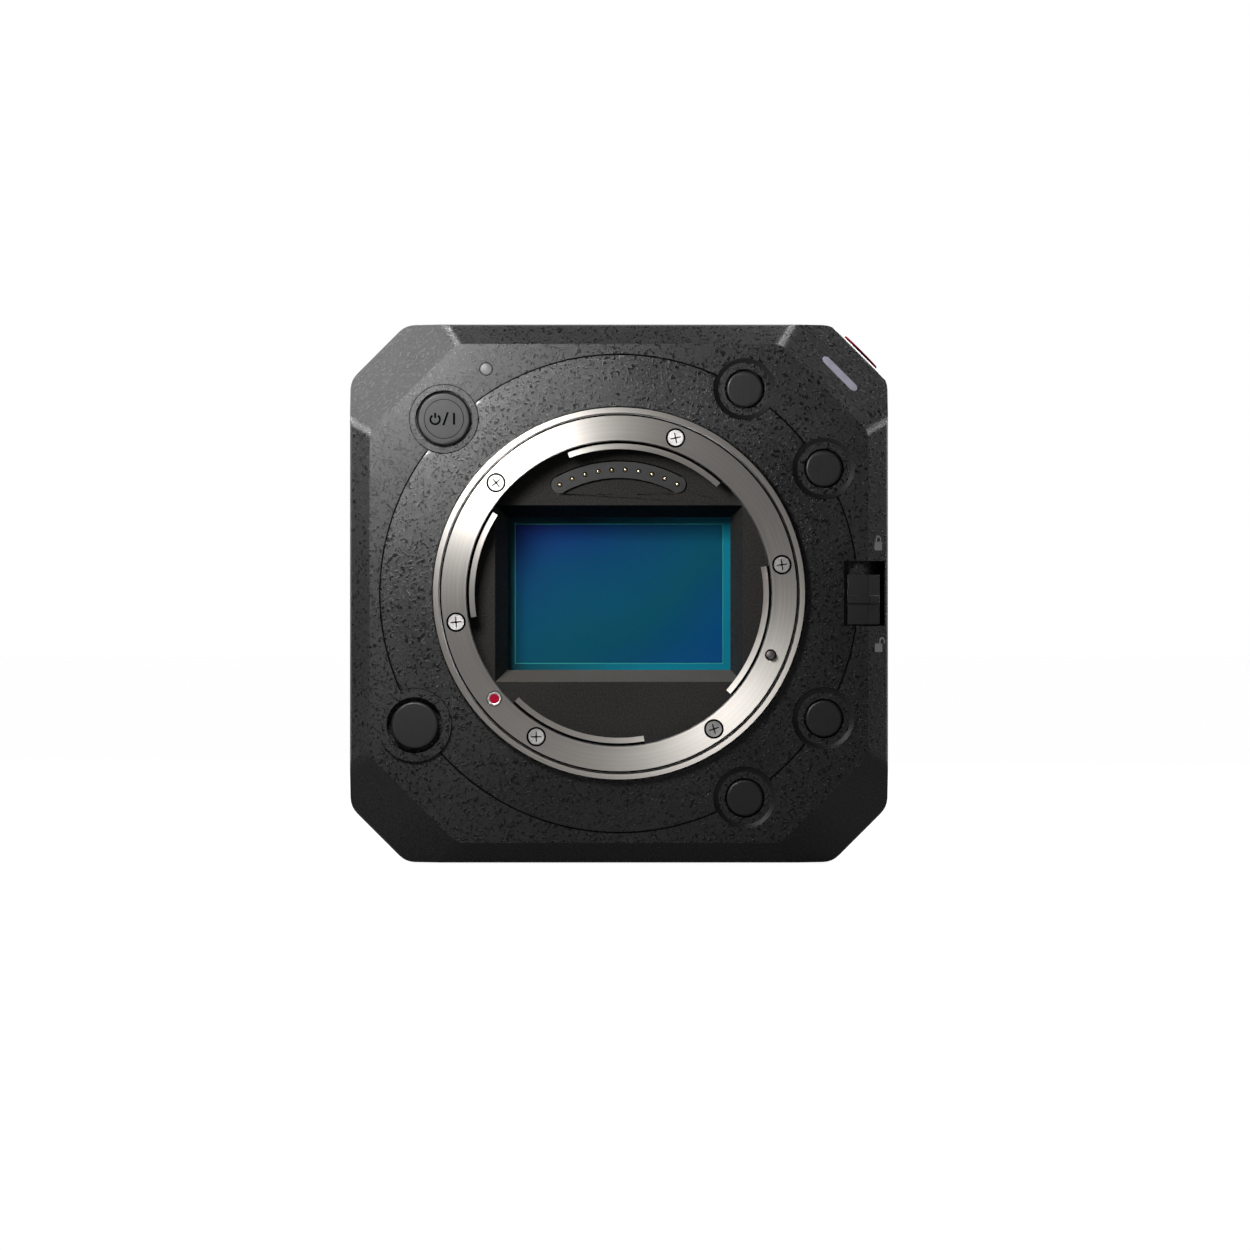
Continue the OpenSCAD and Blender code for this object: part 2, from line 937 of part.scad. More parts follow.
module release_lever() {
    button_angle = atan2(release_place[1], release_place[0]) + 360;
    middle_r = (lever_in_r + lever_out_r) / 2;
    color("#a6a8aa")
        slab(lever_y, lever_y + lever_t) {
            ring_part(lever_in_r, lever_out_r, button_angle, pin_angle);
            for (end = [[button_angle, norm(release_place)], [pin_angle, pin_circle_r]]) {
                place = end[1] * direction(end[0]);
                translate(place)
                    circle(lever_pad_r);
                rotate(end[0])
                    translate([min(end[1], middle_r), -lever_arm_w / 2])
                        square([abs(end[1] - middle_r), lever_arm_w]);
            }
        }
}

// Light box and sensor

// A window that narrows from the front to the back
module tapered_window() {
    front = box_floor_y;
    function sides(w0, w1) = [
        [-w0, front], [w0, front], [w1, window_y], [w1, funnel_back_y + over],
        [-w1, funnel_back_y + over], [-w1, window_y]
    ];
    intersection() {
        level_slab(mid_z - funnel_w, mid_z + funnel_w)
            polygon(sides(funnel_w / 2, window_w / 2));
        translate([-funnel_w, 0, mid_z])
            rotate([0, 90, 0])
                linear_extrude(2 * funnel_w)
                    polygon([for (p = sides(funnel_h / 2, window_h / 2)) [p[0], p[1]]]);
    }
}

// The band of the contacts, an arc with round ends
module contact_band_shape(gap) {
    last = contact_first_angle + (contact_count - 1) * contact_step_angle;
    band = contact_band / 2 + gap;
    ring_part(contact_r - band, contact_r + band, contact_first_angle, last);
    for (a = [contact_first_angle, last])
        translate(contact_r * direction(a))
            circle(band);
}

module light_box() {
    color("#333334")
        difference() {
            union() {
                bar([0, 0], box_r, box_front_y, box_floor_y + box_floor_t);
                bar([0, 0], box_flange_r, bracket_back_y, bracket_back_y + box_flange_t);
                slab(box_floor_y, funnel_back_y)
                    square([funnel_w + 2 * funnel_wall, funnel_h + 2 * funnel_wall], center = true);
            }
            bar([0, 0], box_r - box_wall, box_front_y - over, box_floor_y);
            tapered_window();
            slab(box_floor_y - over, box_floor_y + contact_sink)
                contact_band_shape(fit_gap);
            bar(pin_place, pin_r + pin_room, box_front_y - over, bracket_back_y + box_flange_t + over);
        }
}

module contact_block() {
    color("#1c1c1e")
        difference() {
            slab(box_floor_y - contact_proud, box_floor_y + contact_sink)
                contact_band_shape(0);
            for (i = [0:contact_count - 1])
                bar(
                    contact_r * direction(contact_first_angle + i * contact_step_angle),
                    contact_pin_r + run_gap,
                    box_floor_y - contact_proud - over, box_floor_y + contact_sink - fit_gap
                );
        }
}

module contact_pins() {
    color("#d8b25a")
        for (i = [0:contact_count - 1])
            bar(
                contact_r * direction(contact_first_angle + i * contact_step_angle), contact_pin_r,
                box_floor_y - contact_proud - contact_pin_proud, box_floor_y + contact_sink - fit_gap
            );
}

module sensor_glass() {
    color("#1b6f86", 0.5)
        slab(glass_front_y, glass_back_y)
            square([window_w + 2 * glass_border, window_h + 2 * glass_border], center = true);
}

module image_sensor() {
    color("#0b3d5c")
        difference() {
            slab(glass_back_y, package_back_y)
                square([package_w, package_h], center = true);
            slab(glass_back_y - over, sensor_y)
                square([window_w, window_h], center = true);
            slab(sensor_y - over, sensor_y + image_step)
                difference() {
                    square([image_w + over, image_h + over], center = true);
                    square([image_w, image_h], center = true);
                }
        }
}

module sensor_bracket() {
    color("#9a9da0")
        difference() {
            slab(package_back_y, package_back_y + sensor_plate_t) {
                square([package_w + 2 * sensor_plate_t, package_h + 2 * sensor_plate_t], center = true);
                for (a = post_angles) {
                    translate(post_circle_r * direction(a))
                        circle(post_r + sensor_plate_t);
                    rotate(a)
                        translate([0, -post_r])
                            square([post_circle_r, 2 * post_r]);
                }
            }
            for (a = post_angles)
                bar(
                    post_circle_r * direction(a), shank_hole_r,
                    package_back_y - over, sensor_board_y + over
                );
        }
}

sensor_board_y = package_back_y + sensor_plate_t;
spreader_y = sensor_board_y + sensor_board_t;
sink_y = spreader_y + spreader_t;

module sensor_board() {
    color("#1d5c38")
        slab(sensor_board_y, spreader_y)
            square([package_w, package_h], center = true);
}

module heat_spreader() {
    color("#b87344")
        slab(spreader_y, sink_y)
            square([image_w, image_h], center = true);
}

module heat_sink() {
    fin_pitch = (sink_h - fin_t) / (fin_count - 1);
    fin_back_y = bulk_front_y - fit_gap;
    color("#7c8085") {
        slab(sink_y, sink_y + sink_base_t)
            square([sink_w, sink_h], center = true);
        for (i = [0:fin_count - 1])
            slab(sink_y + sink_base_t, fin_back_y)
                plate([0, (i - (fin_count - 1) / 2) * fin_pitch], sink_w, fin_t);
    }
}

// The screws of the sensor bracket, and the case screws that show in the rear face
module body_screws() {
    y1 = sensor_board_y;
    seat = rear_y - case_head_t;
    cross_w = case_head_r / 5;
    color("#77797c") {
        for (a = post_angles) {
            place = post_circle_r * direction(a);
            bar(place, screw_head_r, y1, y1 + screw_head_t);
            bar(place, screw_shank_r, package_back_y - inner_screw_len + fit_gap, y1);
        }
        for (p = case_places)
            difference() {
                union() {
                    bar(p, case_head_r, seat, rear_y - fit_gap);
                    bar(p, case_shank_r, seat - case_shank_len + fit_gap, seat);
                }
                slab(seat + case_head_t / 2, rear_y) {
                    plate(p, cross_w, cross_w * cross_share);
                    plate(p, cross_w * cross_share, cross_w);
                }
            }
    }
}

// Middle frame

// The window of a side plate, a rectangle in Y and Z
module side_plate(y0, y1, z0, z1) {
    translate([y0, z0])
        square([y1 - y0, z1 - z0]);
}

// The window behind the vent cover, which ends in front of the bulkhead
module vent_window(gap) {
    side_plate(
        vent_y - vent_w / 2 + ledge + gap, bulk_front_y - fit_gap - gap,
        ledge + gap - vent_h / 2, vent_h / 2 - ledge - gap
    );
}

module mid_frame() {
    top = mid_z + half;
    color("#2f2f31")
        difference() {
            union() {
                slab(front_split_y, rear_split_y)
                    difference() {
                        outline();
                        inside();
                    }
                slab(bulk_front_y, bulk_back_y)
                    intersection() {
                        polygon(octagon(inner + wall / 2, chamfer_d - wall / 2, outline_r));
                        translate([-half, -half])
                            square([body_w, body_w - bulk_drop]);
                    }
            }
            // Vent cover: a rebate and a through window
            side_slab(-half - over, -half + wall / 2)
                plate([vent_y, 0], vent_w + 2 * fit_gap, vent_h + 2 * fit_gap);
            side_slab(-half, -inner + over)
                vent_window(0);
            // Side panel: a shallow pocket, with the openings behind it
            side_slab(half - skin_t, half + over)
                plate([mid_y, 0], panel_y1 - panel_y0 + 2 * fit_gap, 2 * panel_half_h + 2 * fit_gap);
            for (k = cursor_keys)
                cross_bar(k[0], k[1], k[2] + cursor_flange + fit_gap, inner - over, half);
            side_slab(inner - over, half)
                plate([door_y, door_z], slot_w + 2 * slot_margin, 2 * (slots_half_h - slot_margin));
            hinge_hollow(door_y, door_hinge_z, door_w, true);
            for (i = [-1:1])
                cross_bar(flap_y, flap_z + i * jack_pitch, jack_r + fit_gap, inner - over, half);
            hinge_hollow(flap_hinge_y, flap_z, flap_h, false);
            // Record button on the upper right chamfer
            on_chamfer(-wall - over)
                cylinder(h = wall + 2 * over, r = record_r - record_ring_w);
            on_chamfer(-skin_t)
                cylinder(h = skin_t + over, r = record_r + fit_gap);
            // Top plate and base plate: a rebate and a through window each
            for (level = [[top - plate_t, top + over], [-over, plate_t]])
                level_slab(level[0], level[1])
                    plate([0, plate_y], 2 * plate_half_w + 2 * fit_gap, plate_len + 2 * fit_gap);
            for (level = [[top - wall - over, top], [0, wall + over]])
                level_slab(level[0], level[1])
                    plate([0, plate_y], 2 * (plate_half_w - plate_ledge), plate_len - 2 * plate_ledge);
        }
}

// The hollow behind a hinge barrel on the right side, along Y or along Z
module hinge_hollow(a, b, length, along_y) {
    deep = 2 * barrel_r + 2 * fit_gap;
    long = length + 2 * fit_gap;
    side_slab(half - deep, half + over)
        plate([a, b], along_y ? long : deep, along_y ? deep : long);
}

// Puts a piece on the upper right chamfer, its z axis along the chamfer's normal
module on_chamfer(out) {
    reach = chamfer_d / sqrt(2);
    translate([reach, record_y, mid_z + reach])
        rotate([0, 45, 0])
            translate([0, 0, out])
                children();
}

// Fan

module fan_frame() {
    x0 = -inner;
    x1 = -inner + fan_t;
    color("#1f1f20")
        difference() {
            side_slab(x0, x1)
                translate([fan_y, 0])
                    square([fan_w, fan_w], center = true);
            cross_bar(fan_y, 0, fan_w / 2 - fan_wall, x0 - over, x1 - fan_back_t);
            side_slab(x1 - fan_back_t - over, x1 + over)
                translate([fan_y, 0])
                    difference() {
                        circle(fan_w / 2 - fan_wall);
                        circle(fan_hub_r);
                        for (i = [0:2])
                            rotate(i * 120)
                                translate([0, -fan_arm_w / 2])
                                    square([fan_w, fan_arm_w]);
                    }
            cross_bar(fan_y, 0, fan_axle_r + run_gap, x1 - fan_back_t - over, x1 + over);
        }
}

module fan_rotor() {
    x0 = -inner + fit_gap;
    x1 = -inner + fan_t - fan_back_t - 3 * fit_gap;
    blade_r = fan_w / 2 - fan_wall - 5 * fit_gap;
    color("#2a2a2c") {
        cross_bar(fan_y, 0, fan_hub_r, x0, x1);
        cross_bar(fan_y, 0, fan_axle_r, x1 - over, -inner + fan_t - fit_gap);
        intersection() {
            cross_bar(fan_y, 0, blade_r, x0, x1);
            for (i = [0:fan_blades - 1])
                translate([(x0 + x1) / 2, fan_y, mid_z])
                    rotate([i * 360 / fan_blades, 0, 0])
                        rotate([0, 0, 40])
                            translate([-fan_t, -fan_wall / 2, fan_hub_r - fan_wall])
                                cube([2 * fan_t, fan_wall, fan_w]);
        }
    }
}

module vent_cover() {
    y0 = vent_y - vent_w / 2;
    y1 = vent_y + vent_w / 2;
    slot_y = fan_y;
    color("#2b2b2d")
        difference() {
            union() {
                side_slab(-half, -half + wall / 2)
                    side_plate(y0, y1, -vent_h / 2, vent_h / 2);
                side_slab(-half + wall / 2, -inner)
                    vent_window(fit_gap);
            }
            for (i = [0:vent_slot_count - 1])
                side_slab(-half - over, -inner + over)
                    translate([slot_y, (i - (vent_slot_count - 1) / 2) * vent_slot_pitch])
                        stadium(vent_slot_w, vent_slot_h);
        }
}

// Boards

module main_board() {
    w = 2 * inner - 4 * ledge;
    color("#17603c")
        slab(bulk_back_y, board_back_y)
            translate([-w / 2, -panel_half_h])
                square([w, 2 * panel_half_h - ledge]);
}

cursor_keys = [
    [cursor_y, cursor_z, cursor_set_r],
    [cursor_y, cursor_z + cursor_pitch, cursor_arrow_r],
    [cursor_y, cursor_z - cursor_pitch, cursor_arrow_r],
    [cursor_y - cursor_pitch, cursor_z, cursor_arrow_r],
    [cursor_y + cursor_pitch, cursor_z, cursor_arrow_r]
];

module key_board() {
    reach = 2 * (cursor_pitch + cursor_arrow_r + cursor_flange + key_board_margin);
    color("#17603c")
        side_slab(inner - key_board_t, inner)
            plate([cursor_y, cursor_z], reach, reach);
}

// Side panel, its buttons, the card door and the jack cover

slots_half_h = slot_pitch / 2 + slot_h / 2 + slot_wall;
door_hinge_z = door_z - door_h / 2 + barrel_r;
flap_hinge_y = flap_y + flap_w / 2 - barrel_r;
hinge_x = half - barrel_r;

module side_panel() {
    color("#343436")
        side_slab(half - skin_t, half)
            difference() {
                side_plate(panel_y0, panel_y1, -panel_half_h, panel_half_h);
                for (k = cursor_keys)
                    translate([k[0], k[1]])
                        circle(k[2] + fit_gap);
                plate([door_y, door_z], door_w + 2 * fit_gap, door_h + 2 * fit_gap);
                plate([flap_y, flap_z], flap_w + 2 * fit_gap, flap_h + 2 * fit_gap);
            }
}

module cursor_button(k) {
    // The cap shows through the panel, and its flange is trapped behind it
    seat = half - skin_t;
    color("#252527") {
        cross_bar(k[0], k[1], k[2], inner + cursor_travel + fit_gap, half - cursor_sink);
        cross_bar(k[0], k[1], k[2] + cursor_flange, inner + cursor_travel + fit_gap, seat - fit_gap / 2);
    }
}

module cursor_set() {
    cursor_button(cursor_keys[0]);
}

module cursor_up() {
    cursor_button(cursor_keys[1]);
}

module cursor_down() {
    cursor_button(cursor_keys[2]);
}

module cursor_fore() {
    cursor_button(cursor_keys[3]);
}

module cursor_aft() {
    cursor_button(cursor_keys[4]);
}

module card_slots() {
    color("#a9adb0")
        difference() {
            block(
                [inner - slot_reach, inner],
                [door_y - slot_w / 2 - slot_wall, door_y + slot_w / 2 + slot_wall],
                [door_z - slots_half_h, door_z + slots_half_h]
            );
            for (s = [-1, 1])
                block(
                    [inner - slot_reach + slot_wall, inner + over],
                    [door_y - slot_w / 2, door_y + slot_w / 2],
                    [door_z + s * slot_pitch / 2 - slot_h / 2, door_z + s * slot_pitch / 2 + slot_h / 2]
                );
        }
}

module card_door() {
    bore = hinge_pin_r + run_gap;
    low = door_hinge_z;
    color("#2e2e30")
        difference() {
            union() {
                block(
                    [half - door_t, half],
                    [door_y - door_w / 2, door_y + door_w / 2],
                    [low, door_z + door_h / 2]
                );
                translate([hinge_x, door_y - door_w / 2, mid_z + low])
                    rotate([-90, 0, 0])
                        cylinder(h = door_w, r = barrel_r);
            }
            translate([hinge_x, door_y - door_w / 2 - over, mid_z + low])
                rotate([-90, 0, 0])
                    cylinder(h = door_w + 2 * over, r = bore);
        }
}

module audio_jacks() {
    color("#2c2c2e")
        for (i = [-1:1]) {
            z = flap_z + i * jack_pitch;
            difference() {
                block(
                    [inner - jack_body_len, inner],
                    [flap_y - jack_body_w / 2, flap_y + jack_body_w / 2],
                    [z - jack_body_h / 2, z + jack_body_h / 2]
                );
                cross_bar(flap_y, z, jack_r, inner - jack_body_len + slot_wall, inner + over);
            }
        }
}

module jack_cover() {
    bore = hinge_pin_r + run_gap;
    color("#262627")
        difference() {
            union() {
                block(
                    [half - door_t, half],
                    [flap_y - flap_w / 2, flap_hinge_y],
                    [flap_z - flap_h / 2, flap_z + flap_h / 2]
                );
                translate([hinge_x, flap_hinge_y, mid_z + flap_z - flap_h / 2])
                    cylinder(h = flap_h, r = barrel_r);
            }
            translate([hinge_x, flap_hinge_y, mid_z + flap_z - flap_h / 2 - over])
                cylinder(h = flap_h + 2 * over, r = bore);
        }
}

// Two pins that end in the frame on both sides of each hollow
module hinge_pins() {
    color("#b0b2b4") {
        translate([hinge_x, door_y - door_w / 2 - fit_gap, mid_z + door_hinge_z])
            rotate([-90, 0, 0])
                cylinder(h = door_w + 2 * fit_gap, r = hinge_pin_r);
        translate([hinge_x, flap_hinge_y, mid_z + flap_z - flap_h / 2 - fit_gap])
            cylinder(h = flap_h + 2 * fit_gap, r = hinge_pin_r);
    }
}

// Top and base

insert_places = [
    [-top_insert_pitch / 2, plate_y, 1], [top_insert_pitch / 2, plate_y, 1],
    [0, plate_y - base_insert_pitch / 2, -1], [0, plate_y + base_insert_pitch / 2, -1]
];

// Puts an upright piece at the top (side 1) or the base (side -1), its z axis pointing inwards
module inwards(place) {
    translate([place[0], place[1], place[2] > 0 ? body_w : 0])
        rotate([place[2] > 0 ? 180 : 0, 0, 0])
            children();
}

module insert_bosses(side) {
    for (p = insert_places)
        if (p[2] == side)
            inwards(p)
                cylinder(h = insert_depth + insert_floor, r = insert_r + insert_wall);
}

module insert_holes(side) {
    for (p = insert_places)
        if (p[2] == side)
            inwards(p)
                translate([0, 0, -over])
                    cylinder(h = insert_depth + over, r = insert_r + run_gap);
}

shoe_outer_w = shoe_w + 2 * shoe_t;
tub_w = shoe_outer_w + 2 * fit_gap + 2 * tub_wall;
tub_y0 = plate_y - tub_len / 2;
pocket_y0 = tub_y0 + tub_wall;
pocket_y1 = tub_y0 + tub_len - tub_wall;

module top_plate() {
    top = body_w;
    color("#333335")
        difference() {
            union() {
                level_slab(top - plate_t, top)
                    plate([0, plate_y], 2 * plate_half_w, plate_len);
                level_slab(top - shoe_depth - tub_wall, top)
                    plate([0, plate_y], tub_w, tub_len);
                insert_bosses(1);
            }
            translate([-shoe_outer_w / 2 - fit_gap, pocket_y0, top - shoe_depth])
                cube([shoe_outer_w + 2 * fit_gap, pocket_y1 - pocket_y0, shoe_depth + over]);
            insert_holes(1);
        }
}

module shoe_rail() {
    top = body_w;
    low = top - shoe_depth;
    w = shoe_outer_w / 2;
    mouth = shoe_w / 2 - shoe_lip;
    color("#c4c6c8")
        translate([0, pocket_y0 + shoe_len + fit_gap, 0])
            rotate([90, 0, 0])
                linear_extrude(shoe_len)
                    polygon([
                        [-w, low], [w, low], [w, top], [mouth, top], [mouth, top - shoe_lip_t],
                        [w - shoe_t, top - shoe_lip_t], [w - shoe_t, low + shoe_t],
                        [-w + shoe_t, low + shoe_t], [-w + shoe_t, top - shoe_lip_t],
                        [-mouth, top - shoe_lip_t], [-mouth, top], [-w, top]
                    ]);
}

module base_plate() {
    color("#2c2c2e")
        difference() {
            union() {
                level_slab(0, plate_t)
                    plate([0, plate_y], 2 * plate_half_w, plate_len);
                insert_bosses(-1);
            }
            insert_holes(-1);
        }
}

module threaded_inserts() {
    color("#b9bbbd")
        for (p = insert_places)
            inwards(p)
                difference() {
                    cylinder(h = insert_depth, r = insert_r);
                    translate([0, 0, -over])
                        cylinder(h = insert_depth + 2 * over, r = thread_r);
                }
}

// Rear housing

bay_floor_y = rear_y - bay_depth;
port_floor_y = rear_y - port_depth;
case_places = [for (sx = [-1, 1], sz = [-1, 1]) case_screw_place * [sx, sz]];
coax_places = [
    for (sx = [-1, 1], sz = [-1, 1]) [port_x + sx * coax_pitch / 2, coax_z + sz * coax_pitch / 2]
];

// The holes for the connectors; gap widens each one
module port_holes(gap) {
    for (p = coax_places)
        translate(p)
            circle(coax_body_r + gap);
    plate([port_x, net_z], net_w + 2 * gap, net_h + 2 * gap);
    plate([port_x, video_z], video_w + 2 * gap, video_h + 2 * gap);
    plate([data_x, small_z], data_w + 2 * gap, data_h + 2 * gap);
    plate([supply_x, small_z], supply_w + 2 * gap, supply_w + 2 * gap);
}

// Takes away the edge round the rear face
module rear_edge_cuts() {
    translate([0, face_y + rear_y, 0])
        mirror([0, 1, 0])
            for (q = [0:7])
                facet_cut(q * 45, (q % 2 == 0 ? half : chamfer_d) - rear_bevel, 1);
}

module rear_housing() {
    color("#303032")
        difference() {
            union() {
                difference() {
                    slab(rear_split_y, rear_y)
                        outline();
                    slab(rear_split_y - over, rear_in_y)
                        inside();
                }
                slab(bay_floor_y - bay_wall, rear_in_y + over / 2)
                    plate([bay_x, 0], bay_w + 2 * bay_wall, bay_h + 2 * bay_wall);
                slab(port_floor_y - port_floor_t, rear_in_y + over / 2)
                    plate([port_x, 0], port_w + 2 * bay_wall, bay_h + 2 * bay_wall);
                for (p = case_places)
                    bar(p, case_boss_r, rear_in_y - case_boss_t, rear_in_y);
            }
            rear_edge_cuts();
            slab(bay_floor_y, rear_y + over)
                plate([bay_x, 0], bay_w, bay_h);
            slab(port_floor_y, rear_y + over)
                plate([port_x, 0], port_w, bay_h);
            slab(port_floor_y - port_floor_t - over, port_floor_y + over)
                port_holes(2 * fit_gap);
            for (p = case_places) {
                bar(p, case_head_r + fit_gap, rear_y - case_head_t, rear_y + over);
                bar(p, case_shank_r + run_gap, rear_y - case_head_t - case_shank_len, rear_y);
            }
        }
}

module battery_plate() {
    y0 = bay_floor_y;
    y1 = bay_floor_y + battery_plate_t;
    lip_y = y1 + rail_h - rail_t;
    x1 = rail_w / 2;
    color("#3a3a3c")
        difference() {
            union() {
                slab(y0, y1)
                    plate([bay_x, 0], bay_w - 2 * fit_gap, bay_h - 2 * fit_gap);
                for (s = [-1, 1]) {
                    edge = bay_x + s * x1;
                    post_x = edge - s * rail_t;
                    block(
                        [min(edge, post_x), max(edge, post_x)], [y1, y1 + rail_h],
                        [-bay_h / 2 + rail_t, -bay_h / 2 + rail_t + rail_len]
                    );
                    lip_x = post_x - s * rail_lip;
                    block(
                        [min(post_x, lip_x), max(post_x, lip_x)], [lip_y, y1 + rail_h],
                        [-bay_h / 2 + rail_t, -bay_h / 2 + rail_t + rail_len]
                    );
                }
            }
            // Seats of the terminal and the latch
            slab(y0 + battery_plate_t / 2, y1 + over) {
                plate([bay_x, terminal_z], terminal_w + 2 * fit_gap, terminal_h + 2 * fit_gap);
                latch_track();
            }
        }
}

// The track of the battery latch, longer than the latch by its travel
module latch_track() {
    translate([bay_x - latch_w / 2 - fit_gap, latch_z - latch_h / 2 - latch_travel - fit_gap])
        square([latch_w + 2 * fit_gap, latch_h + latch_travel + 2 * fit_gap]);
}

module battery_terminal() {
    y0 = bay_floor_y + battery_plate_t / 2;
    pitch = terminal_w / blade_count;
    color("#161617")
        difference() {
            slab(y0, y0 + terminal_t)
                plate([bay_x, terminal_z], terminal_w, terminal_h);
            for (i = [0:blade_count - 1]) {
                x = bay_x + (i - (blade_count - 1) / 2) * pitch;
                slab(y0 + terminal_t / 2, y0 + terminal_t + over)
                    plate([x, terminal_z + blade_w], blade_w, terminal_h);
            }
        }
}

module battery_latch() {
    y0 = bay_floor_y + battery_plate_t / 2 + run_gap;
    color("#4a4a4c")
        difference() {
            slab(y0, y0 + latch_t)
                plate([bay_x, latch_z], latch_w, latch_h);
            for (i = [-1:1])
                slab(y0 + latch_t - rail_t / 4, y0 + latch_t + over)
                    plate([bay_x, latch_z + i * rail_t * 0.8], latch_w - rail_t, rail_t / 3);
        }
}

// Connectors

module connector_panel() {
    color("#505255")
        difference() {
            slab(port_floor_y, panel_front_y)
                plate([port_x, 0], port_w - 2 * fit_gap, bay_h - 2 * fit_gap);
            slab(port_floor_y - over, panel_front_y + over)
                port_holes(fit_gap);
        }
}

module coax_jacks() {
    color("#c8c9cb")
        for (p = coax_places)
            difference() {
                union() {
                    bar(p, coax_body_r, board_back_y, panel_front_y);
                    bar(p, coax_flange_r, panel_front_y, panel_front_y + coax_flange_t);
                    bar(p, coax_r, panel_front_y, rear_tip_y);
                    // Bayonet lugs
                    translate([p[0], rear_tip_y - coax_lug_back, mid_z + p[1]])
                        rotate([0, 90, 0])
                            cylinder(h = 2 * (coax_r + coax_lug_proud), r = coax_lug_r, center = true);
                }
                difference() {
                    bar(p, coax_bore_r, panel_front_y, rear_tip_y + over);
                    bar(p, coax_core_r, panel_front_y - over, rear_tip_y - coax_lug_r);
                }
                bar(p, coax_contact_r, panel_front_y, rear_tip_y + over);
            }
}

// A shell with an open back face, for the flat connectors
module port_shell(place, w, h, front_y) {
    difference() {
        slab(shell_back_y, front_y)
            plate(place, w, h);
        slab(front_y - shell_depth, front_y + over)
            plate(place, w - 2 * shell_t, h - 2 * shell_t);
    }
    slab(board_back_y, shell_back_y)
        plate(place, w, h);
}

module port_shells() {
    color("#b5b8bb") {
        difference() {
            slab(board_back_y, net_front_y)
                plate([port_x, net_z], net_w, net_h);
            slab(net_front_y - net_depth, net_front_y + over) {
                plate([port_x, net_z], net_hole_w, net_hole_h);
                plate([port_x, net_z - net_hole_h / 2], net_key_w, 2 * video_key);
            }
        }
        port_shell([port_x, video_z], video_w, video_h, shell_front_y);
        port_shell([data_x, small_z], data_w, data_h, shell_front_y);
        difference() {
            slab(board_back_y, shell_front_y)
                plate([supply_x, small_z], supply_w, supply_w);
            bar([supply_x, small_z], supply_hole_r, shell_front_y - shell_depth, shell_front_y + over);
        }
    }
}

// The tongues of the video and data ports and the pin of the power inlet
module port_cores() {
    floor_y = shell_front_y - shell_depth;
    end_y = shell_front_y - shell_t;
    color("#1a1a1b") {
        slab(floor_y, end_y)
            plate([port_x, video_z + shell_t], video_w - 8 * shell_t, 2 * shell_t);
        slab(floor_y, end_y)
            plate([data_x, small_z], data_w - 6 * shell_t, 1.4 * shell_t);
        bar([supply_x, small_z], supply_pin_r, floor_y, end_y);
    }
}

// Buttons of the front and the chamfer

module power_button() {
    color("#242426")
        front_button(power_place, power_r, power_y);
}

module fn_button_1() {
    color("#232325")
        front_button(fn_places[0], fn_r, fn_y);
}

module fn_button_2() {
    color("#232325")
        front_button(fn_places[1], fn_r, fn_y);
}

module fn_button_3() {
    color("#232325")
        front_button(fn_places[2], fn_r, fn_y);
}

module fn_button_4() {
    color("#232325")
        front_button(fn_places[3], fn_r, fn_y);
}

module release_button() {
    color("#1d1d1e") {
        cap(release_place, release_r, release_y, release_y + cap_t);
        bar(release_place, stem_r, release_y + cap_t, lever_y);
    }
}

module record_ring() {
    color("#c21a30")
        on_chamfer(-skin_t)
            difference() {
                cylinder(h = skin_t + record_proud, r = record_r);
                translate([0, 0, -over])
                    cylinder(h = skin_t + record_proud + 2 * over, r = record_r - record_ring_w);
            }
}

module record_button() {
    color("#2a2a2c")
        on_chamfer(-wall) {
            cylinder(h = wall + record_proud - fit_gap, r = record_cap_r);
        }
}

module lamps() {
    color("#b9b6c4") {
        bar(status_place, status_r, face_y, front_in_y);
        on_facet(-tally_t)
            linear_extrude(tally_t)
                stadium(tally_len, tally_w);
    }
}

front_housing();
mount_cover();
mount_lip();
mount_ring();
mount_spring();
mount_screws();
mount_bracket();
index_post();
index_mark();
lock_pin();
release_lever();
light_box();
contact_block();
contact_pins();
sensor_glass();
image_sensor();
sensor_bracket();
sensor_board();
heat_spreader();
heat_sink();
body_screws();
mid_frame();
fan_frame();
fan_rotor();
vent_cover();
main_board();
key_board();
side_panel();
cursor_set();
cursor_up();
cursor_down();
cursor_fore();
cursor_aft();
card_slots();
card_door();
audio_jacks();
jack_cover();
hinge_pins();
top_plate();
shoe_rail();
base_plate();
threaded_inserts();
rear_housing();
battery_plate();
battery_terminal();
battery_latch();
connector_panel();
coax_jacks();
port_shells();
port_cores();
power_button();
fn_button_1();
fn_button_2();
fn_button_3();
fn_button_4();
release_button();
record_ring();
record_button();
lock_switch();
lamps();
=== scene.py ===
"""Box camera body, dressed over its CAD frame. Lengths are typed in millimetres and turned into metres by MM."""
import json
import math

import bmesh
import bpy
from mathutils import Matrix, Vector


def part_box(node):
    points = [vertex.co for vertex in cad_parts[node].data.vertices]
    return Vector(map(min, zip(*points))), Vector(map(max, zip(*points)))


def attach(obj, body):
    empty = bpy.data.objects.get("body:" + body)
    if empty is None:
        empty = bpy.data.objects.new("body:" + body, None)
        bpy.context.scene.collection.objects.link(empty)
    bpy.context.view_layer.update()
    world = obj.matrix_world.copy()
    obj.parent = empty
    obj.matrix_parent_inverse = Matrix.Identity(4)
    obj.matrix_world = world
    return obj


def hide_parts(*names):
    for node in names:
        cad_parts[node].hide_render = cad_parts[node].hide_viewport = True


MM = 0.001
# Half the width of the body, the height of the lens axis, and the front face, lens flange and rear face
HALF = 46.5
MID_Z = 46.5
FACE_Y = -36.5
FLANGE_Y = -38.5
REAR_Y = 36.0

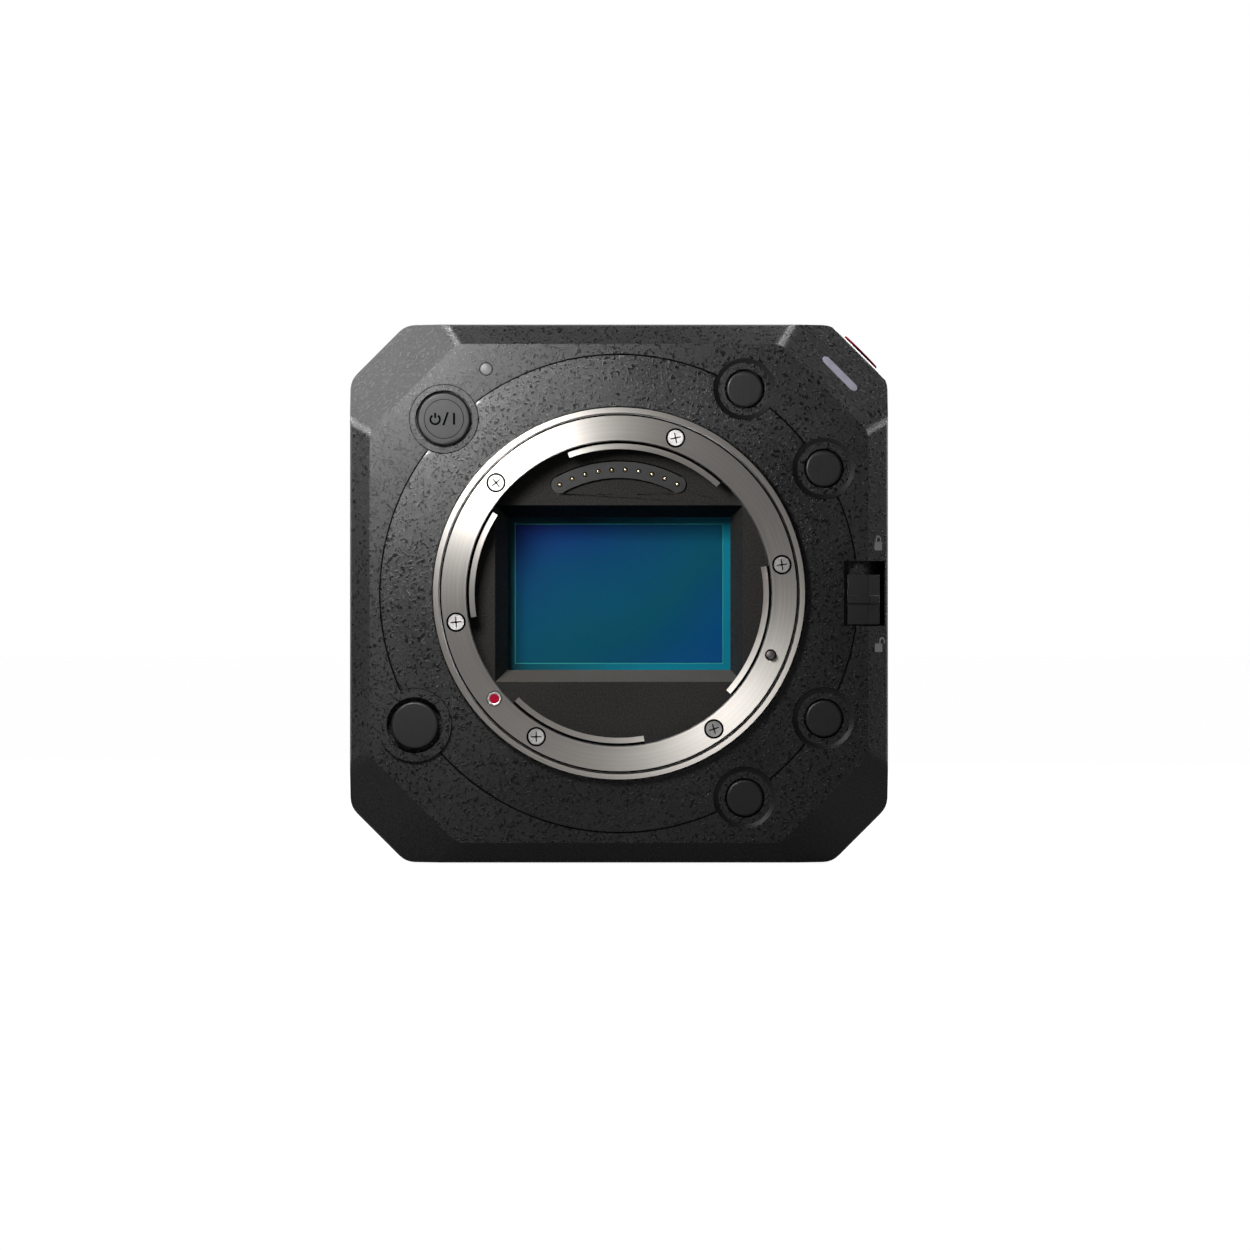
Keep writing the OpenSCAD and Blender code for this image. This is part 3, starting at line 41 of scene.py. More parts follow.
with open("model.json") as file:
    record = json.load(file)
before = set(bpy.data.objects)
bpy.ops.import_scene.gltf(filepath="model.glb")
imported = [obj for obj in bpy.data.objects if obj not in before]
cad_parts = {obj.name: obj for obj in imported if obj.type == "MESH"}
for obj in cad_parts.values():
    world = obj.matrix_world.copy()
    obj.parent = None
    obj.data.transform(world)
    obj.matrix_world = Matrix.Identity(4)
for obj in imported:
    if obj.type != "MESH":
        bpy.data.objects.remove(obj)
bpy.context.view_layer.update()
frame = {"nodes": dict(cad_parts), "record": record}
nodes = frame["nodes"]
scene = bpy.context.scene


# ---------------------------------------------------------------- materials


class Shader:
    """A small helper that builds a node material with object coordinates in millimetres."""

    def __init__(self, name):
        self.material = bpy.data.materials.new(name)
        self.material.use_nodes = True
        self.tree = self.material.node_tree
        self.tree.nodes.clear()
        self.output = self.node("ShaderNodeOutputMaterial")
        self.bsdf = self.node("ShaderNodeBsdfPrincipled")
        self.link(self.bsdf.outputs["BSDF"], self.output.inputs["Surface"])
        coordinates = self.node("ShaderNodeTexCoord")
        scaling = self.node("ShaderNodeMapping")
        scaling.inputs["Scale"].default_value = (1 / MM,) * 3
        self.link(coordinates.outputs["Object"], scaling.inputs["Vector"])
        self.place = scaling.outputs["Vector"]

    def node(self, kind, **settings):
        made = self.tree.nodes.new(kind)
        for key, value in settings.items():
            setattr(made, key, value)
        return made

    def link(self, source, target):
        self.tree.links.new(source, target)

    def feed(self, target, value):
        """Joins a socket, or sets it when the value is a plain number or colour."""
        if isinstance(value, bpy.types.NodeSocket):
            self.link(value, target)
        else:
            target.default_value = value

    def set(self, **values):
        for key, value in values.items():
            self.feed(self.bsdf.inputs[key.replace("_", " ")], value)

    def noise(self, size, detail=2.0, roughness=0.5, place=None, distortion=0.0):
        made = self.node("ShaderNodeTexNoise")
        self.link(place or self.place, made.inputs["Vector"])
        made.inputs["Scale"].default_value = 1 / size
        made.inputs["Detail"].default_value = detail
        made.inputs["Roughness"].default_value = roughness
        made.inputs["Distortion"].default_value = distortion
        return made.outputs["Fac"]

    def cells(self, size, randomness=1.0):
        made = self.node("ShaderNodeTexVoronoi")
        self.link(self.place, made.inputs["Vector"])
        made.inputs["Scale"].default_value = 1 / size
        made.inputs["Randomness"].default_value = randomness
        return made.outputs["Distance"]

    def math(self, operation, a, b=0.0):
        made = self.node("ShaderNodeMath", operation=operation)
        for i, value in enumerate((a, b)):
            self.feed(made.inputs[i], value)
        return made.outputs[0]

    def span(self, value, low, high, to_low=0.0, to_high=1.0, smooth=True):
        """Maps low..high to to_low..to_high and clamps outside."""
        made = self.node("ShaderNodeMapRange", interpolation_type="SMOOTHSTEP" if smooth else "LINEAR")
        limits = {"Value": value, "From Min": low, "From Max": high, "To Min": to_low, "To Max": to_high}
        for key, item in limits.items():
            self.feed(made.inputs[key], item)
        return made.outputs["Result"]

    def mix(self, share, a, b):
        made = self.node("ShaderNodeMix", data_type="RGBA")
        self.feed(made.inputs["Factor"], share)
        self.feed(made.inputs["A"], rgba(a))
        self.feed(made.inputs["B"], rgba(b))
        return made.outputs["Result"]

    def ramp(self, value, stops):
        made = self.node("ShaderNodeValToRGB")
        ramp = made.color_ramp
        while len(ramp.elements) < len(stops):
            ramp.elements.new(0.5)
        for element, (position, colour) in zip(ramp.elements, stops):
            element.position = position
            element.color = rgba(colour)
        self.feed(made.inputs["Fac"], value)
        return made.outputs["Color"]

    def axes(self):
        made = self.node("ShaderNodeSeparateXYZ")
        self.link(self.place, made.inputs["Vector"])
        return made.outputs["X"], made.outputs["Y"], made.outputs["Z"]

    def bump(self, height, depth):
        """Depth is in millimetres for a height that runs from 0 to 1."""
        made = self.node("ShaderNodeBump")
        made.inputs["Strength"].default_value = 1.0
        made.inputs["Distance"].default_value = depth * MM
        self.link(height, made.inputs["Height"])
        self.link(made.outputs["Normal"], self.bsdf.inputs["Normal"])


def rgba(colour):
    """Adds the alpha to a colour of three numbers; sockets pass through."""
    if isinstance(colour, tuple) and len(colour) == 3:
        return (*colour, 1.0)
    return colour


def shade(colour, factor):
    return tuple(min(1.0, c * factor) for c in colour)


def grained_shader(name, colour, roughness, grain, depth, spread, specular):
    """Textured paint or moulded plastic: raised grain with darker, duller pits, and broad small changes of tone."""
    s = Shader(name)
    fine = s.noise(grain, 3.0, 0.6)
    lumps = s.span(fine, 0.38, 0.62)
    pits = s.cells(grain * 1.6)
    broad = s.noise(14.0, 2.0)
    height = s.math("ADD", s.math("MULTIPLY", lumps, 0.7), s.math("MULTIPLY", pits, 0.4))
    tone = s.math("ADD", s.math("MULTIPLY", lumps, 0.8), s.span(broad, 0.3, 0.7, 0.0, 0.2))
    s.set(Base_Color=s.mix(tone, shade(colour, 1 - spread), shade(colour, 1 + spread)))
    worn = s.math("ADD", lumps, broad)
    s.set(Roughness=s.span(worn, 0.3, 1.5, roughness + 0.1, roughness - 0.06, smooth=False))
    s.bsdf.inputs["Specular IOR Level"].default_value = specular
    s.bump(height, depth)
    return s


def grained(*settings):
    return grained_shader(*settings).material


def trap(*settings):
    """Flocked black paint with painted light and shade: the faces that look up are painted paler, as if lit from
    above, and those that look down are painted black, as if in shade.
    """
    s = grained_shader(*settings)
    # Painted light and shade by the way each face looks: paler upwards, black downwards
    facing = s.node("ShaderNodeSeparateXYZ")
    s.link(s.node("ShaderNodeNewGeometry").outputs["True Normal"], facing.inputs["Vector"])
    plain = s.bsdf.inputs["Base Color"].links[0].from_socket
    up = s.mix(s.span(facing.outputs["Z"], 0.2, 0.8), plain, (0.12, 0.108, 0.095))
    s.set(Base_Color=s.mix(s.span(facing.outputs["Z"], -0.8, -0.2, 1.0, 0.0), up, (0.001, 0.001, 0.001)))
    return s.material


def wrinkled(name, colour, roughness, specular, size, depth, dark, swing):
    """Speckled paint: a dull ground with a fine tooth, and smooth lumps that are dark unless a lamp faces them."""
    s = Shader(name)
    worms = s.noise(size, 3.0, 0.65, distortion=0.8)
    lumps = s.span(worms, 0.51, 0.57)
    tooth = s.noise(size * 0.35, 2.0, 0.6)
    broad = s.noise(18.0, 2.0)
    height = s.math("ADD", s.math("MULTIPLY", lumps, 0.35), s.math("MULTIPLY", tooth, 0.65))
    ground = s.mix(s.span(tooth, 0.35, 0.65), shade(colour, 0.6), shade(colour, 1.5))
    s.set(Base_Color=s.mix(lumps, ground, shade(colour, dark)))
    grip = s.span(lumps, 0.0, 1.0, roughness + swing, roughness - swing, smooth=False)
    s.set(Roughness=s.math("ADD", grip, s.span(broad, 0.3, 0.7, -0.02, 0.03)))
    s.bsdf.inputs["Specular IOR Level"].default_value = specular
    s.bump(height, depth)
    return s.material


def brushed(name, colour, roughness, along=(1, 1, 1), grain=0.25, depth=0.004):
    """Bare metal with fine lines, stretched along the axis that has the large number."""
    s = Shader(name)
    stretch = s.node("ShaderNodeMapping")
    stretch.inputs["Scale"].default_value = tuple(1 / a for a in along)
    s.link(s.place, stretch.inputs["Vector"])
    lines = s.noise(grain, 4.0, 0.6, place=stretch.outputs["Vector"])
    broad = s.noise(6.0, 2.0)
    s.set(Base_Color=s.mix(s.span(lines, 0.3, 0.7), shade(colour, 0.86), shade(colour, 1.1)), Metallic=1.0)
    s.set(Roughness=s.span(s.math("ADD", lines, broad), 0.6, 1.4, roughness * 0.8, roughness * 1.25))
    s.bump(lines, depth)
    return s.material


def turned(name, colour, roughness, anisotropy):
    """Metal turned on a lathe round the lens axis: rings in the surface and a streak of light that follows them."""
    s = Shader(name)
    x, y, z = s.axes()
    up = s.math("SUBTRACT", z, MID_Z)
    radius = s.math("SQRT", s.math("ADD", s.math("MULTIPLY", x, x), s.math("MULTIPLY", up, up)))
    shift = s.node("ShaderNodeCombineXYZ")
    s.link(radius, shift.inputs["X"])
    rings = s.noise(0.4, 3.0, 0.7, place=shift.outputs["Vector"])
    s.set(Base_Color=s.mix(s.span(rings, 0.3, 0.7), shade(colour, 0.9), colour), Metallic=1.0)
    s.set(Roughness=s.span(rings, 0.3, 0.7, roughness * 0.94, roughness * 1.06))
    s.bsdf.inputs["Anisotropic"].default_value = anisotropy
    s.bsdf.inputs["Anisotropic Rotation"].default_value = 0.25
    tangent = s.node("ShaderNodeTangent", direction_type="RADIAL", axis="Y")
    s.link(tangent.outputs["Tangent"], s.bsdf.inputs["Tangent"])
    s.bump(rings, 0.0003)
    return s.material


def board(name):
    """Circuit board: solder mask with tracks that show through, and plated rings."""
    s = Shader(name)
    weave = s.noise(0.4, 2.0)
    bricks = s.cells(2.2, 0.2)
    tracks = s.span(s.math("FRACT", s.math("MULTIPLY", s.noise(9.0, 0.0), 14.0)), 0.42, 0.5)
    base = s.mix(tracks, (0.012, 0.07, 0.035), (0.02, 0.14, 0.06))
    s.set(Base_Color=s.mix(s.span(bricks, 0.05, 0.12), (0.5, 0.36, 0.12), base))
    s.set(Roughness=s.span(weave, 0.3, 0.7, 0.25, 0.4))
    s.bump(s.math("ADD", tracks, s.math("MULTIPLY", weave, 0.2)), 0.03)
    return s.material


def sensor_face(name):
    """Coated silicon with its sheen painted in: the colours that its coating reflects are painted as a violet and
    blue ground with a green band across it and, round the active area, a teal frame that is lighter towards the
    lower right; a thin green line runs along the edge of the active area.
    """
    s = Shader(name)
    x, y, z = s.axes()
    up = s.math("SUBTRACT", z, MID_Z)
    # Distance from the upper left corner to the lower right one, bent a little by a broad noise; the painted sheen
    # changes colour along it
    sway = s.span(s.noise(22.0, 0.0), 0.3, 0.7, -2.0, 2.0)
    across = s.math("ADD", s.math("ADD", s.math("MULTIPLY", x, 0.55), s.math("MULTIPLY", up, -0.83)), sway)
    painted_sheen_field = s.ramp(
        s.span(across, -20.0, 20.0, smooth=False),
        [
            (0.0, (0.018, 0.014, 0.18)), (0.1, (0.002, 0.036, 0.18)), (0.3, (0.0, 0.065, 0.15)),
            (0.5, (0.0, 0.088, 0.145)), (0.62, (0.0, 0.09, 0.13)), (0.74, (0.0, 0.08, 0.155)),
            (0.88, (0.0, 0.08, 0.215)), (1.0, (0.0, 0.075, 0.23)),
        ],
    )
    half_w, half_h = 18.05, 12.12
    edge_x = s.math("SUBTRACT", s.math("ABSOLUTE", x), half_w)
    edge_z = s.math("SUBTRACT", s.math("ABSOLUTE", up), half_h)
    outside = s.math("MAXIMUM", edge_x, edge_z)
    # Painted sheen: the teal round the active area is painted lighter towards the lower right
    side = s.span(s.math("ADD", s.math("MULTIPLY", x, 0.9), s.math("MULTIPLY", up, -0.5)), -16.0, 16.0)
    painted_sheen_border = s.mix(side, (0.003, 0.06, 0.075), (0.004, 0.23, 0.29))
    picture = s.mix(s.span(outside, -0.04, 0.04), painted_sheen_field, painted_sheen_border)
    line = s.span(s.math("ABSOLUTE", outside), 0.05, 0.11, 1.0, 0.0)
    s.set(Base_Color=s.mix(s.math("MULTIPLY", line, 0.8), picture, (0.08, 0.45, 0.34)))
    s.set(Roughness=s.span(s.noise(5.0, 1.0), 0.3, 0.7, 0.4, 0.5))
    s.bsdf.inputs["Specular IOR Level"].default_value = 0.1
    return s.material


def clear_glass(name, tint):
    """Thin coated glass: it lets light straight through, and reflects at its surface."""
    s = Shader(name)
    s.tree.nodes.remove(s.bsdf)
    through = s.node("ShaderNodeBsdfTransparent")
    through.inputs["Color"].default_value = rgba(tint)
    gloss = s.node("ShaderNodeBsdfGlossy")
    gloss.inputs["Color"].default_value = (0.85, 0.95, 1.0, 1.0)
    s.link(s.span(s.noise(3.0, 2.0), 0.3, 0.7, 0.015, 0.04), gloss.inputs["Roughness"])
    fresnel = s.node("ShaderNodeFresnel")
    fresnel.inputs["IOR"].default_value = 1.3
    both = s.node("ShaderNodeMixShader")
    s.link(fresnel.outputs["Fac"], both.inputs["Fac"])
    s.link(through.outputs["BSDF"], both.inputs[1])
    s.link(gloss.outputs["BSDF"], both.inputs[2])
    s.link(both.outputs["Shader"], s.output.inputs["Surface"])
    return s.material


def milky(name, colour, split=False):
    """Diffusing plastic over a lamp that is off; split makes the one at the left smoky."""
    s = Shader(name)
    cloud = s.noise(1.2, 3.0)
    tone = s.mix(s.span(cloud, 0.3, 0.7), shade(colour, 0.86), colour)
    if split:
        tone = s.mix(s.span(s.axes()[0], -1.0, 1.0), (0.2, 0.2, 0.2), tone)
    s.set(Base_Color=tone)
    s.set(Roughness=s.span(cloud, 0.3, 0.7, 0.28, 0.4))
    s.bsdf.inputs["Subsurface Weight"].default_value = 0.25
    s.bsdf.inputs["Subsurface Radius"].default_value = (0.0006, 0.0005, 0.0006)
    s.bsdf.inputs["Specular IOR Level"].default_value = 0.25
    s.bump(cloud, 0.01)
    return s.material


# grained: colour, roughness, grain size, bump depth, spread of tone, specular level
# wrinkled: colour, roughness, specular level, lump size, bump depth, tone of the lumps, swing of roughness
# turned: colour, roughness, anisotropy
MATERIALS = {
    "housing": wrinkled("housing_paint", (0.007, 0.007, 0.0073), 0.3, 0.5, 0.56, 0.02, 0.1, 0.07),
    "cover": wrinkled("cover_paint", (0.0045, 0.0045, 0.0047), 0.24, 0.75, 0.56, 0.016, 0.1, 0.06),
    "panel": grained("panel_paint", (0.02, 0.02, 0.0205), 0.46, 0.3, 0.012, 0.25, 0.4),
    "black_plastic": grained("moulded_plastic", (0.012, 0.012, 0.0125), 0.4, 0.16, 0.006, 0.15, 0.4),
    "button": grained("button_plastic", (0.011, 0.011, 0.0115), 0.38, 0.18, 0.004, 0.2, 0.36),
    "rubber": grained("cover_rubber", (0.015, 0.015, 0.015), 0.62, 0.35, 0.02, 0.15, 0.25),
    "light_trap": trap("light_trap_paint", (0.027, 0.026, 0.0245), 0.6, 0.3, 0.01, 0.25, 0.03),
    "mount_metal": turned("mount_metal", (0.78, 0.74, 0.69), 0.36, 0.75),
    "dark_metal": turned("dark_anodised", (0.16, 0.15, 0.145), 0.34, 0.5),
    "lip_metal": turned("lip_metal", (0.70, 0.66, 0.615), 0.38, 0.7),
    "pin_metal": turned("pin_metal", (0.16, 0.155, 0.15), 0.5, 0.3),
    "steel": brushed("screw_steel", (0.72, 0.70, 0.68), 0.36, grain=0.3, depth=0.0005),
    "bright_steel": brushed("plated_steel", (0.74, 0.73, 0.71), 0.16, grain=0.3, depth=0.002),
    "spring_steel": brushed("spring_steel", (0.45, 0.44, 0.42), 0.32),
    "cast_metal": brushed("cast_metal", (0.46, 0.47, 0.48), 0.45, grain=0.5, depth=0.02),
    "copper": brushed("copper", (0.72, 0.40, 0.25), 0.3, along=(6, 1, 1)),
    "gold": brushed("gold_plate", (0.88, 0.74, 0.40), 0.24, grain=0.5, depth=0.0005),
    "board": board("circuit_board"),
    "sensor": sensor_face("sensor_face"),
    "glass": clear_glass("cover_glass", (0.86, 0.95, 0.98)),
    "lamp": milky("lamp_window", (0.42, 0.41, 0.50), split=True),
    "well": grained("well_paint", (0.006, 0.006, 0.0062), 0.4, 0.3, 0.004, 0.2, 0.4),
    "red": grained("red_plastic", (0.34, 0.008, 0.028), 0.7, 0.2, 0.003, 0.1, 0.0),
    "screw": brushed("black_screw", (0.10, 0.10, 0.105), 0.36, grain=0.12, depth=0.002),
    "white": milky("white_insulator", (0.62, 0.61, 0.58)),
    # Black for print and dark joints, and as painted shade in screw gaps and recesses, at the mount's edges and at
    # the power button's dish
    "ink": grained("printed_ink", (0.0015, 0.0015, 0.0015), 0.9, 0.1, 0.001, 0.1, 0.02),
    "grey_ink": grained("grey_ink", (0.32, 0.32, 0.32), 0.5, 0.1, 0.002, 0.1, 0.4),
}


# ---------------------------------------------------------------- CAD nodes: soft edges


def geometry_group(name):
    """An empty group with geometry in and out, and its two end nodes."""
    group = bpy.data.node_groups.new(name, "GeometryNodeTree")
    for way in ("INPUT", "OUTPUT"):
        group.interface.new_socket("Geometry", in_out=way, socket_type="NodeSocketGeometry")
    return group, group.nodes.new("NodeGroupInput"), group.nodes.new("NodeGroupOutput")


def soft_shading():
    """A node group that shades smooth and keeps the edges sharp that turn by more than the limit."""
    group, start, end = geometry_group("shade_by_angle")
    made = group.nodes
    faces, edges = made.new("GeometryNodeSetShadeSmooth"), made.new("GeometryNodeSetShadeSmooth")
    faces.domain, edges.domain = "FACE", "EDGE"
    angle, compare = made.new("GeometryNodeInputMeshEdgeAngle"), made.new("FunctionNodeCompare")
    compare.data_type, compare.operation = "FLOAT", "GREATER_THAN"
    compare.inputs["B"].default_value = math.radians(33)
    edges.inputs["Shade Smooth"].default_value = False
    group.links.new(start.outputs[0], faces.inputs["Geometry"])
    group.links.new(faces.outputs["Geometry"], edges.inputs["Geometry"])
    group.links.new(angle.outputs["Unsigned Angle"], compare.inputs["A"])
    group.links.new(compare.outputs["Result"], edges.inputs["Selection"])
    group.links.new(edges.outputs["Geometry"], end.inputs[0])
    return group


SMOOTH_GROUP = soft_shading()


def ridge_marks():
    """A node group that marks the edges where bevels and faces meet, so that only these get rounded."""
    group, start, end = geometry_group("ridge_marks")
    made = group.nodes
    angle, store = made.new("GeometryNodeInputMeshEdgeAngle"), made.new("GeometryNodeStoreNamedAttribute")
    store.data_type, store.domain = "FLOAT", "EDGE"
    store.inputs["Name"].default_value = "bevel_weight_edge"
    limits = []
    least, most = 0.45, 0.75
    for operation, value in (("GREATER_THAN", least), ("LESS_THAN", most)):
        test = made.new("ShaderNodeMath")
        test.operation = operation
        group.links.new(angle.outputs["Unsigned Angle"], test.inputs[0])
        test.inputs[1].default_value = value
        limits.append(test.outputs[0])
    both = made.new("ShaderNodeMath")
    both.operation = "MULTIPLY"
    for i in range(2):
        group.links.new(limits[i], both.inputs[i])
    group.links.new(both.outputs[0], store.inputs["Value"])
    group.links.new(start.outputs[0], store.inputs["Geometry"])
    group.links.new(store.outputs["Geometry"], end.inputs[0])
    return group


RIDGE_GROUP = ridge_marks()


def soften(obj, width, segments=2, ridges=False):
    """Welds the mesh, rounds its sharp edges and shades it smooth."""
    weld = obj.modifiers.new("weld", "WELD")
    weld.merge_threshold = 0.0005 * MM
    if width:
        if ridges:
            obj.modifiers.new("ridges", "NODES").node_group = RIDGE_GROUP
        edge = obj.modifiers.new("edges", "BEVEL")
        edge.width = width * MM
        edge.segments = segments
        edge.limit_method = "WEIGHT" if ridges else "ANGLE"
        edge.angle_limit = math.radians(34)
        edge.use_clamp_overlap = False
        edge.miter_outer = "MITER_ARC"
        edge.loop_slide = True
    obj.modifiers.new("shading", "NODES").node_group = SMOOTH_GROUP
    normals = obj.modifiers.new("normals", "WEIGHTED_NORMAL")
    normals.keep_sharp = True
    normals.weight = 80


# Edge rounding of each node, in millimetres; the rest get the usual one
USUAL_ROUNDING = 0.1
RIDGE_ROUNDING = 0.6
ROUNDING = {
    "mount_cover": 0.05, "side_panel": 0.05, "vent_cover": 0.05, "top_plate": 0.05, "base_plate": 0.05,
    "jack_cover": 0.06, "card_door": 0.06, "record_ring": 0.15, "record_button": 0.15, "mid_frame": 0.08,
    "sensor_glass": 0.05, "light_box": 0.12, "body_screws": 0.04, "port_cores": 0.05, "fan_rotor": 0.05,
    "heat_sink": 0.05, "lamps": 0.05,
    "mount_ring": 0, "mount_lip": 0, "mount_screws": 0, "mount_spring": 0, "index_post": 0, "index_mark": 0,
    "contact_pins": 0, "contact_block": 0, "image_sensor": 0, "main_board": 0, "sensor_board": 0,
    "key_board": 0, "hinge_pins": 0, "port_shells": 0,
}
# Nodes with a finish of their own; the rest take the one of their material slot
FINISH = {"mount_lip": "lip_metal", "lock_pin": "pin_metal"}
slots = {part["node"]: part["material_slot"] for part in frame["record"]["subparts"]}
for name, obj in nodes.items():
    obj.data.materials.clear()
    obj.data.materials.append(MATERIALS[FINISH.get(name, slots[name])])
    if name in ("front_housing", "rear_housing"):
        soften(obj, RIDGE_ROUNDING, 5, ridges=True)
    else:
        soften(obj, ROUNDING.get(name, USUAL_ROUNDING))


# ---------------------------------------------------------------- pieces


class Place:
    """A spot on the body with its own right, up and out, as someone who faces that side sees them."""

    def __init__(self, origin, right, up):
        self.origin = Vector(origin)
        self.right = Vector(right).normalized()
        self.up = Vector(up).normalized()
        self.out = self.right.cross(self.up)

    def at(self, u, v, w=0.0):
        return (self.origin + self.right * u + self.up * v + self.out * w) * MM

    def moved(self, u, v, w=0.0):
        return Place(self.origin + self.right * u + self.up * v + self.out * w, self.right, self.up)

    def turned(self, angle):
        a = math.radians(angle)
        right = self.right * math.cos(a) + self.up * math.sin(a)
        return Place(self.origin, right, self.up * math.cos(a) - self.right * math.sin(a))


FRONT = Place((0, FACE_Y, MID_Z), (1, 0, 0), (0, 0, 1))
FLANGE = Place((0, FLANGE_Y, MID_Z), (1, 0, 0), (0, 0, 1))
RIGHT = Place((HALF, 0, MID_Z), (0, 1, 0), (0, 0, 1))
LEFT = Place((-HALF, 0, MID_Z), (0, -1, 0), (0, 0, 1))
REAR = Place((0, REAR_Y, MID_Z), (-1, 0, 0), (0, 0, 1))
TOP = Place((0, 0, 2 * HALF), (1, 0, 0), (0, 1, 0))
BASE = Place((0, 0, 0), (1, 0, 0), (0, -1, 0))
CHAMFER = Place((41.75, -10.5, MID_Z + 41.75), (0, 1, 0), (-1, 0, 1))
BEVEL = Place((44.75, -34.25, MID_Z), (3.5, 4.5, 0), (0, 0, 1))
CONTACT_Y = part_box("contact_block")[0][1] / MM
INDEX_BOX = [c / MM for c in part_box("index_mark")]
INDEX_X, INDEX_Z = ((INDEX_BOX[0][k] + INDEX_BOX[1][k]) / 2 for k in (0, 2))
INDEX_R = math.hypot(INDEX_X, INDEX_Z - MID_Z)

# The front as the CAD has it: radii and angles round the lens axis, places from it
INDEX_ANGLE = 220.2
RING_R, LIP_R, BORE_R = 30.9, 32.2, 26.3
LIP_TOP, CLAW_TOP = -0.4, -1.4
CLAW_SPANS = ((47.5, 110), (147.2, 189.2), (226, 279.8), (318, 370.5))
SEAM_SPANS = ((8.2, 23.8), (39, 50.8), (66, 126.6), (143.4, 203.8), (221.8, 294), (309.2, 321), (336.2, 351.8))
# Angle of each mount screw, and how far its cross is turned
MOUNT_SCREWS = ((70, 12), (138, 40), (190, 5), (240, 0), (305, 18), (10, 8))
SCREW_CIRCLE_R = 28.5
SCREW_R = 1.4
CONTACT_COUNT, CONTACT_START, CONTACT_STEP, CONTACT_R = 10, 62, 6.28, 21.4
FN_ANGLES, FN_CIRCLE_R = (58.4, 31.4, -31.4, -58.4), 41.4
POWER_PLACE = (-30.19, 30.1)
STATUS_PLACE = (-22.9, 38.7)
# Height of a printed line or sign, how far its sides go under the surface, and the height of a dark inlay
SIGN_H = 0.03
SINK = 0.02
INLAY_H = 0.012
# Height of the faces of the resting buttons over the panel round them
BUTTON_DROP = -0.1


def polar(r, angle):
    """Right and up of a point at a radius and an angle in degrees."""
    a = math.radians(angle)
    return r * math.cos(a), r * math.sin(a)


def ring_of(bm, place, r, w, n):
    turns = [2 * math.pi * i / n for i in range(n)]
    return [bm.verts.new(place.at(r * math.cos(a), r * math.sin(a), w)) for a in turns]


def bridge(bm, rows, closed=True):
    """Joins each row of vertices to the next one with four-sided faces."""
    for one, two in zip(rows, rows[1:]):
        n = len(one)
        for i in range(n if closed else n - 1):
            j = (i + 1) % n
            bm.faces.new((one[i], one[j], two[j], two[i]))


def tube(bm, rows):
    """A bar through closed rows of vertices, with both ends shut."""
    bridge(bm, rows)
    bm.faces.new(rows[0])
    bm.faces.new(rows[-1])


def piece(name, bm, material, body="camera", smooth=30, replaces=()):
    """Makes the mesh an object that rides on its body and takes the named material."""
    bmesh.ops.remove_doubles(bm, verts=bm.verts, dist=1e-7)
    bmesh.ops.recalc_face_normals(bm, faces=bm.faces)
    mesh = bpy.data.meshes.new(name)
    bm.to_mesh(mesh)
    bm.free()
    mesh.shade_smooth()
    mesh.set_sharp_from_angle(angle=math.radians(smooth))
    mesh.materials.append(MATERIALS[material])
    obj = bpy.data.objects.new(name, mesh)
    scene.collection.objects.link(obj)
    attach(obj, body)
    if replaces:
        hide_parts(*replaces)
    return obj


def lathe(bm, place, profile, segments=48, radius=None):
    """Turns a profile of (radius, height) round the outward direction; radius(r, angle) may reshape it."""
    rings = []
    for r, w in profile:
        if r == 0:
            rings.append([bm.verts.new(place.at(0, 0, w))])
            continue
        ring = []
        for i in range(segments):
            a = 2 * math.pi * i / segments
            k = radius(r, a) if radius else r
            ring.append(bm.verts.new(place.at(k * math.cos(a), k * math.sin(a), w)))
        rings.append(ring)
    for one, two in zip(rings, rings[1:]):
        for i in range(segments):
            j = (i + 1) % segments
            if len(one) == 1 and len(two) == 1:
                continue
            if len(one) == 1:
                bm.faces.new((one[0], two[i], two[j]))
            elif len(two) == 1:
                bm.faces.new((one[i], two[0], one[j]))
            else:
                bm.faces.new((one[i], two[i], two[j], one[j]))


def curved_strip(bm, place, span, profile):
    """Sweeps a profile of (radius, height) through part of a turn, in degrees."""
    steps = 60
    rows = []
    for i in range(steps + 1):
        a = span[0] + (span[1] - span[0]) * i / steps
        rows.append([bm.verts.new(place.at(*polar(r, a), w)) for r, w in profile])
    bridge(bm, rows, closed=False)


def inset(path, d):
    """Moves an outline inwards by d."""
    n = len(path)
    area = sum(path[i][0] * path[(i + 1) % n][1] - path[(i + 1) % n][0] * path[i][1] for i in range(n))
    turn = 1 if area > 0 else -1
    moved = []
    for i in range(n):
        (x0, y0), (x1, y1), (x2, y2) = path[i - 1], path[i], path[(i + 1) % n]
        a, b = Vector((x1 - x0, y1 - y0)).normalized(), Vector((x2 - x1, y2 - y1)).normalized()
        m = (Vector((-a.y, a.x)) + Vector((-b.y, b.x))) * turn
        m = m / max(0.3, m.length_squared / 2)
        moved.append((x1 + m.x * d, y1 + m.y * d))
    return moved


def outline_prism(bm, place, points, w0, w1, soft=0.0):
    """A flat shape with thickness; its top edge is cut back by soft."""
    levels = [(points, w0), (points, w1)]
    if soft:
        levels = [(points, w0), (points, w1 - soft), (inset(points, soft), w1)]
    rings = [[bm.verts.new(place.at(u, v, w)) for u, v in shape] for shape, w in levels]
    bridge(bm, rings)
    for ring in (rings[-1], rings[0]):
        edges = [bm.edges.get((ring[i], ring[(i + 1) % len(ring)])) for i in range(len(ring))]
        bmesh.ops.triangle_fill(bm, use_beauty=True, use_dissolve=False, edges=edges)


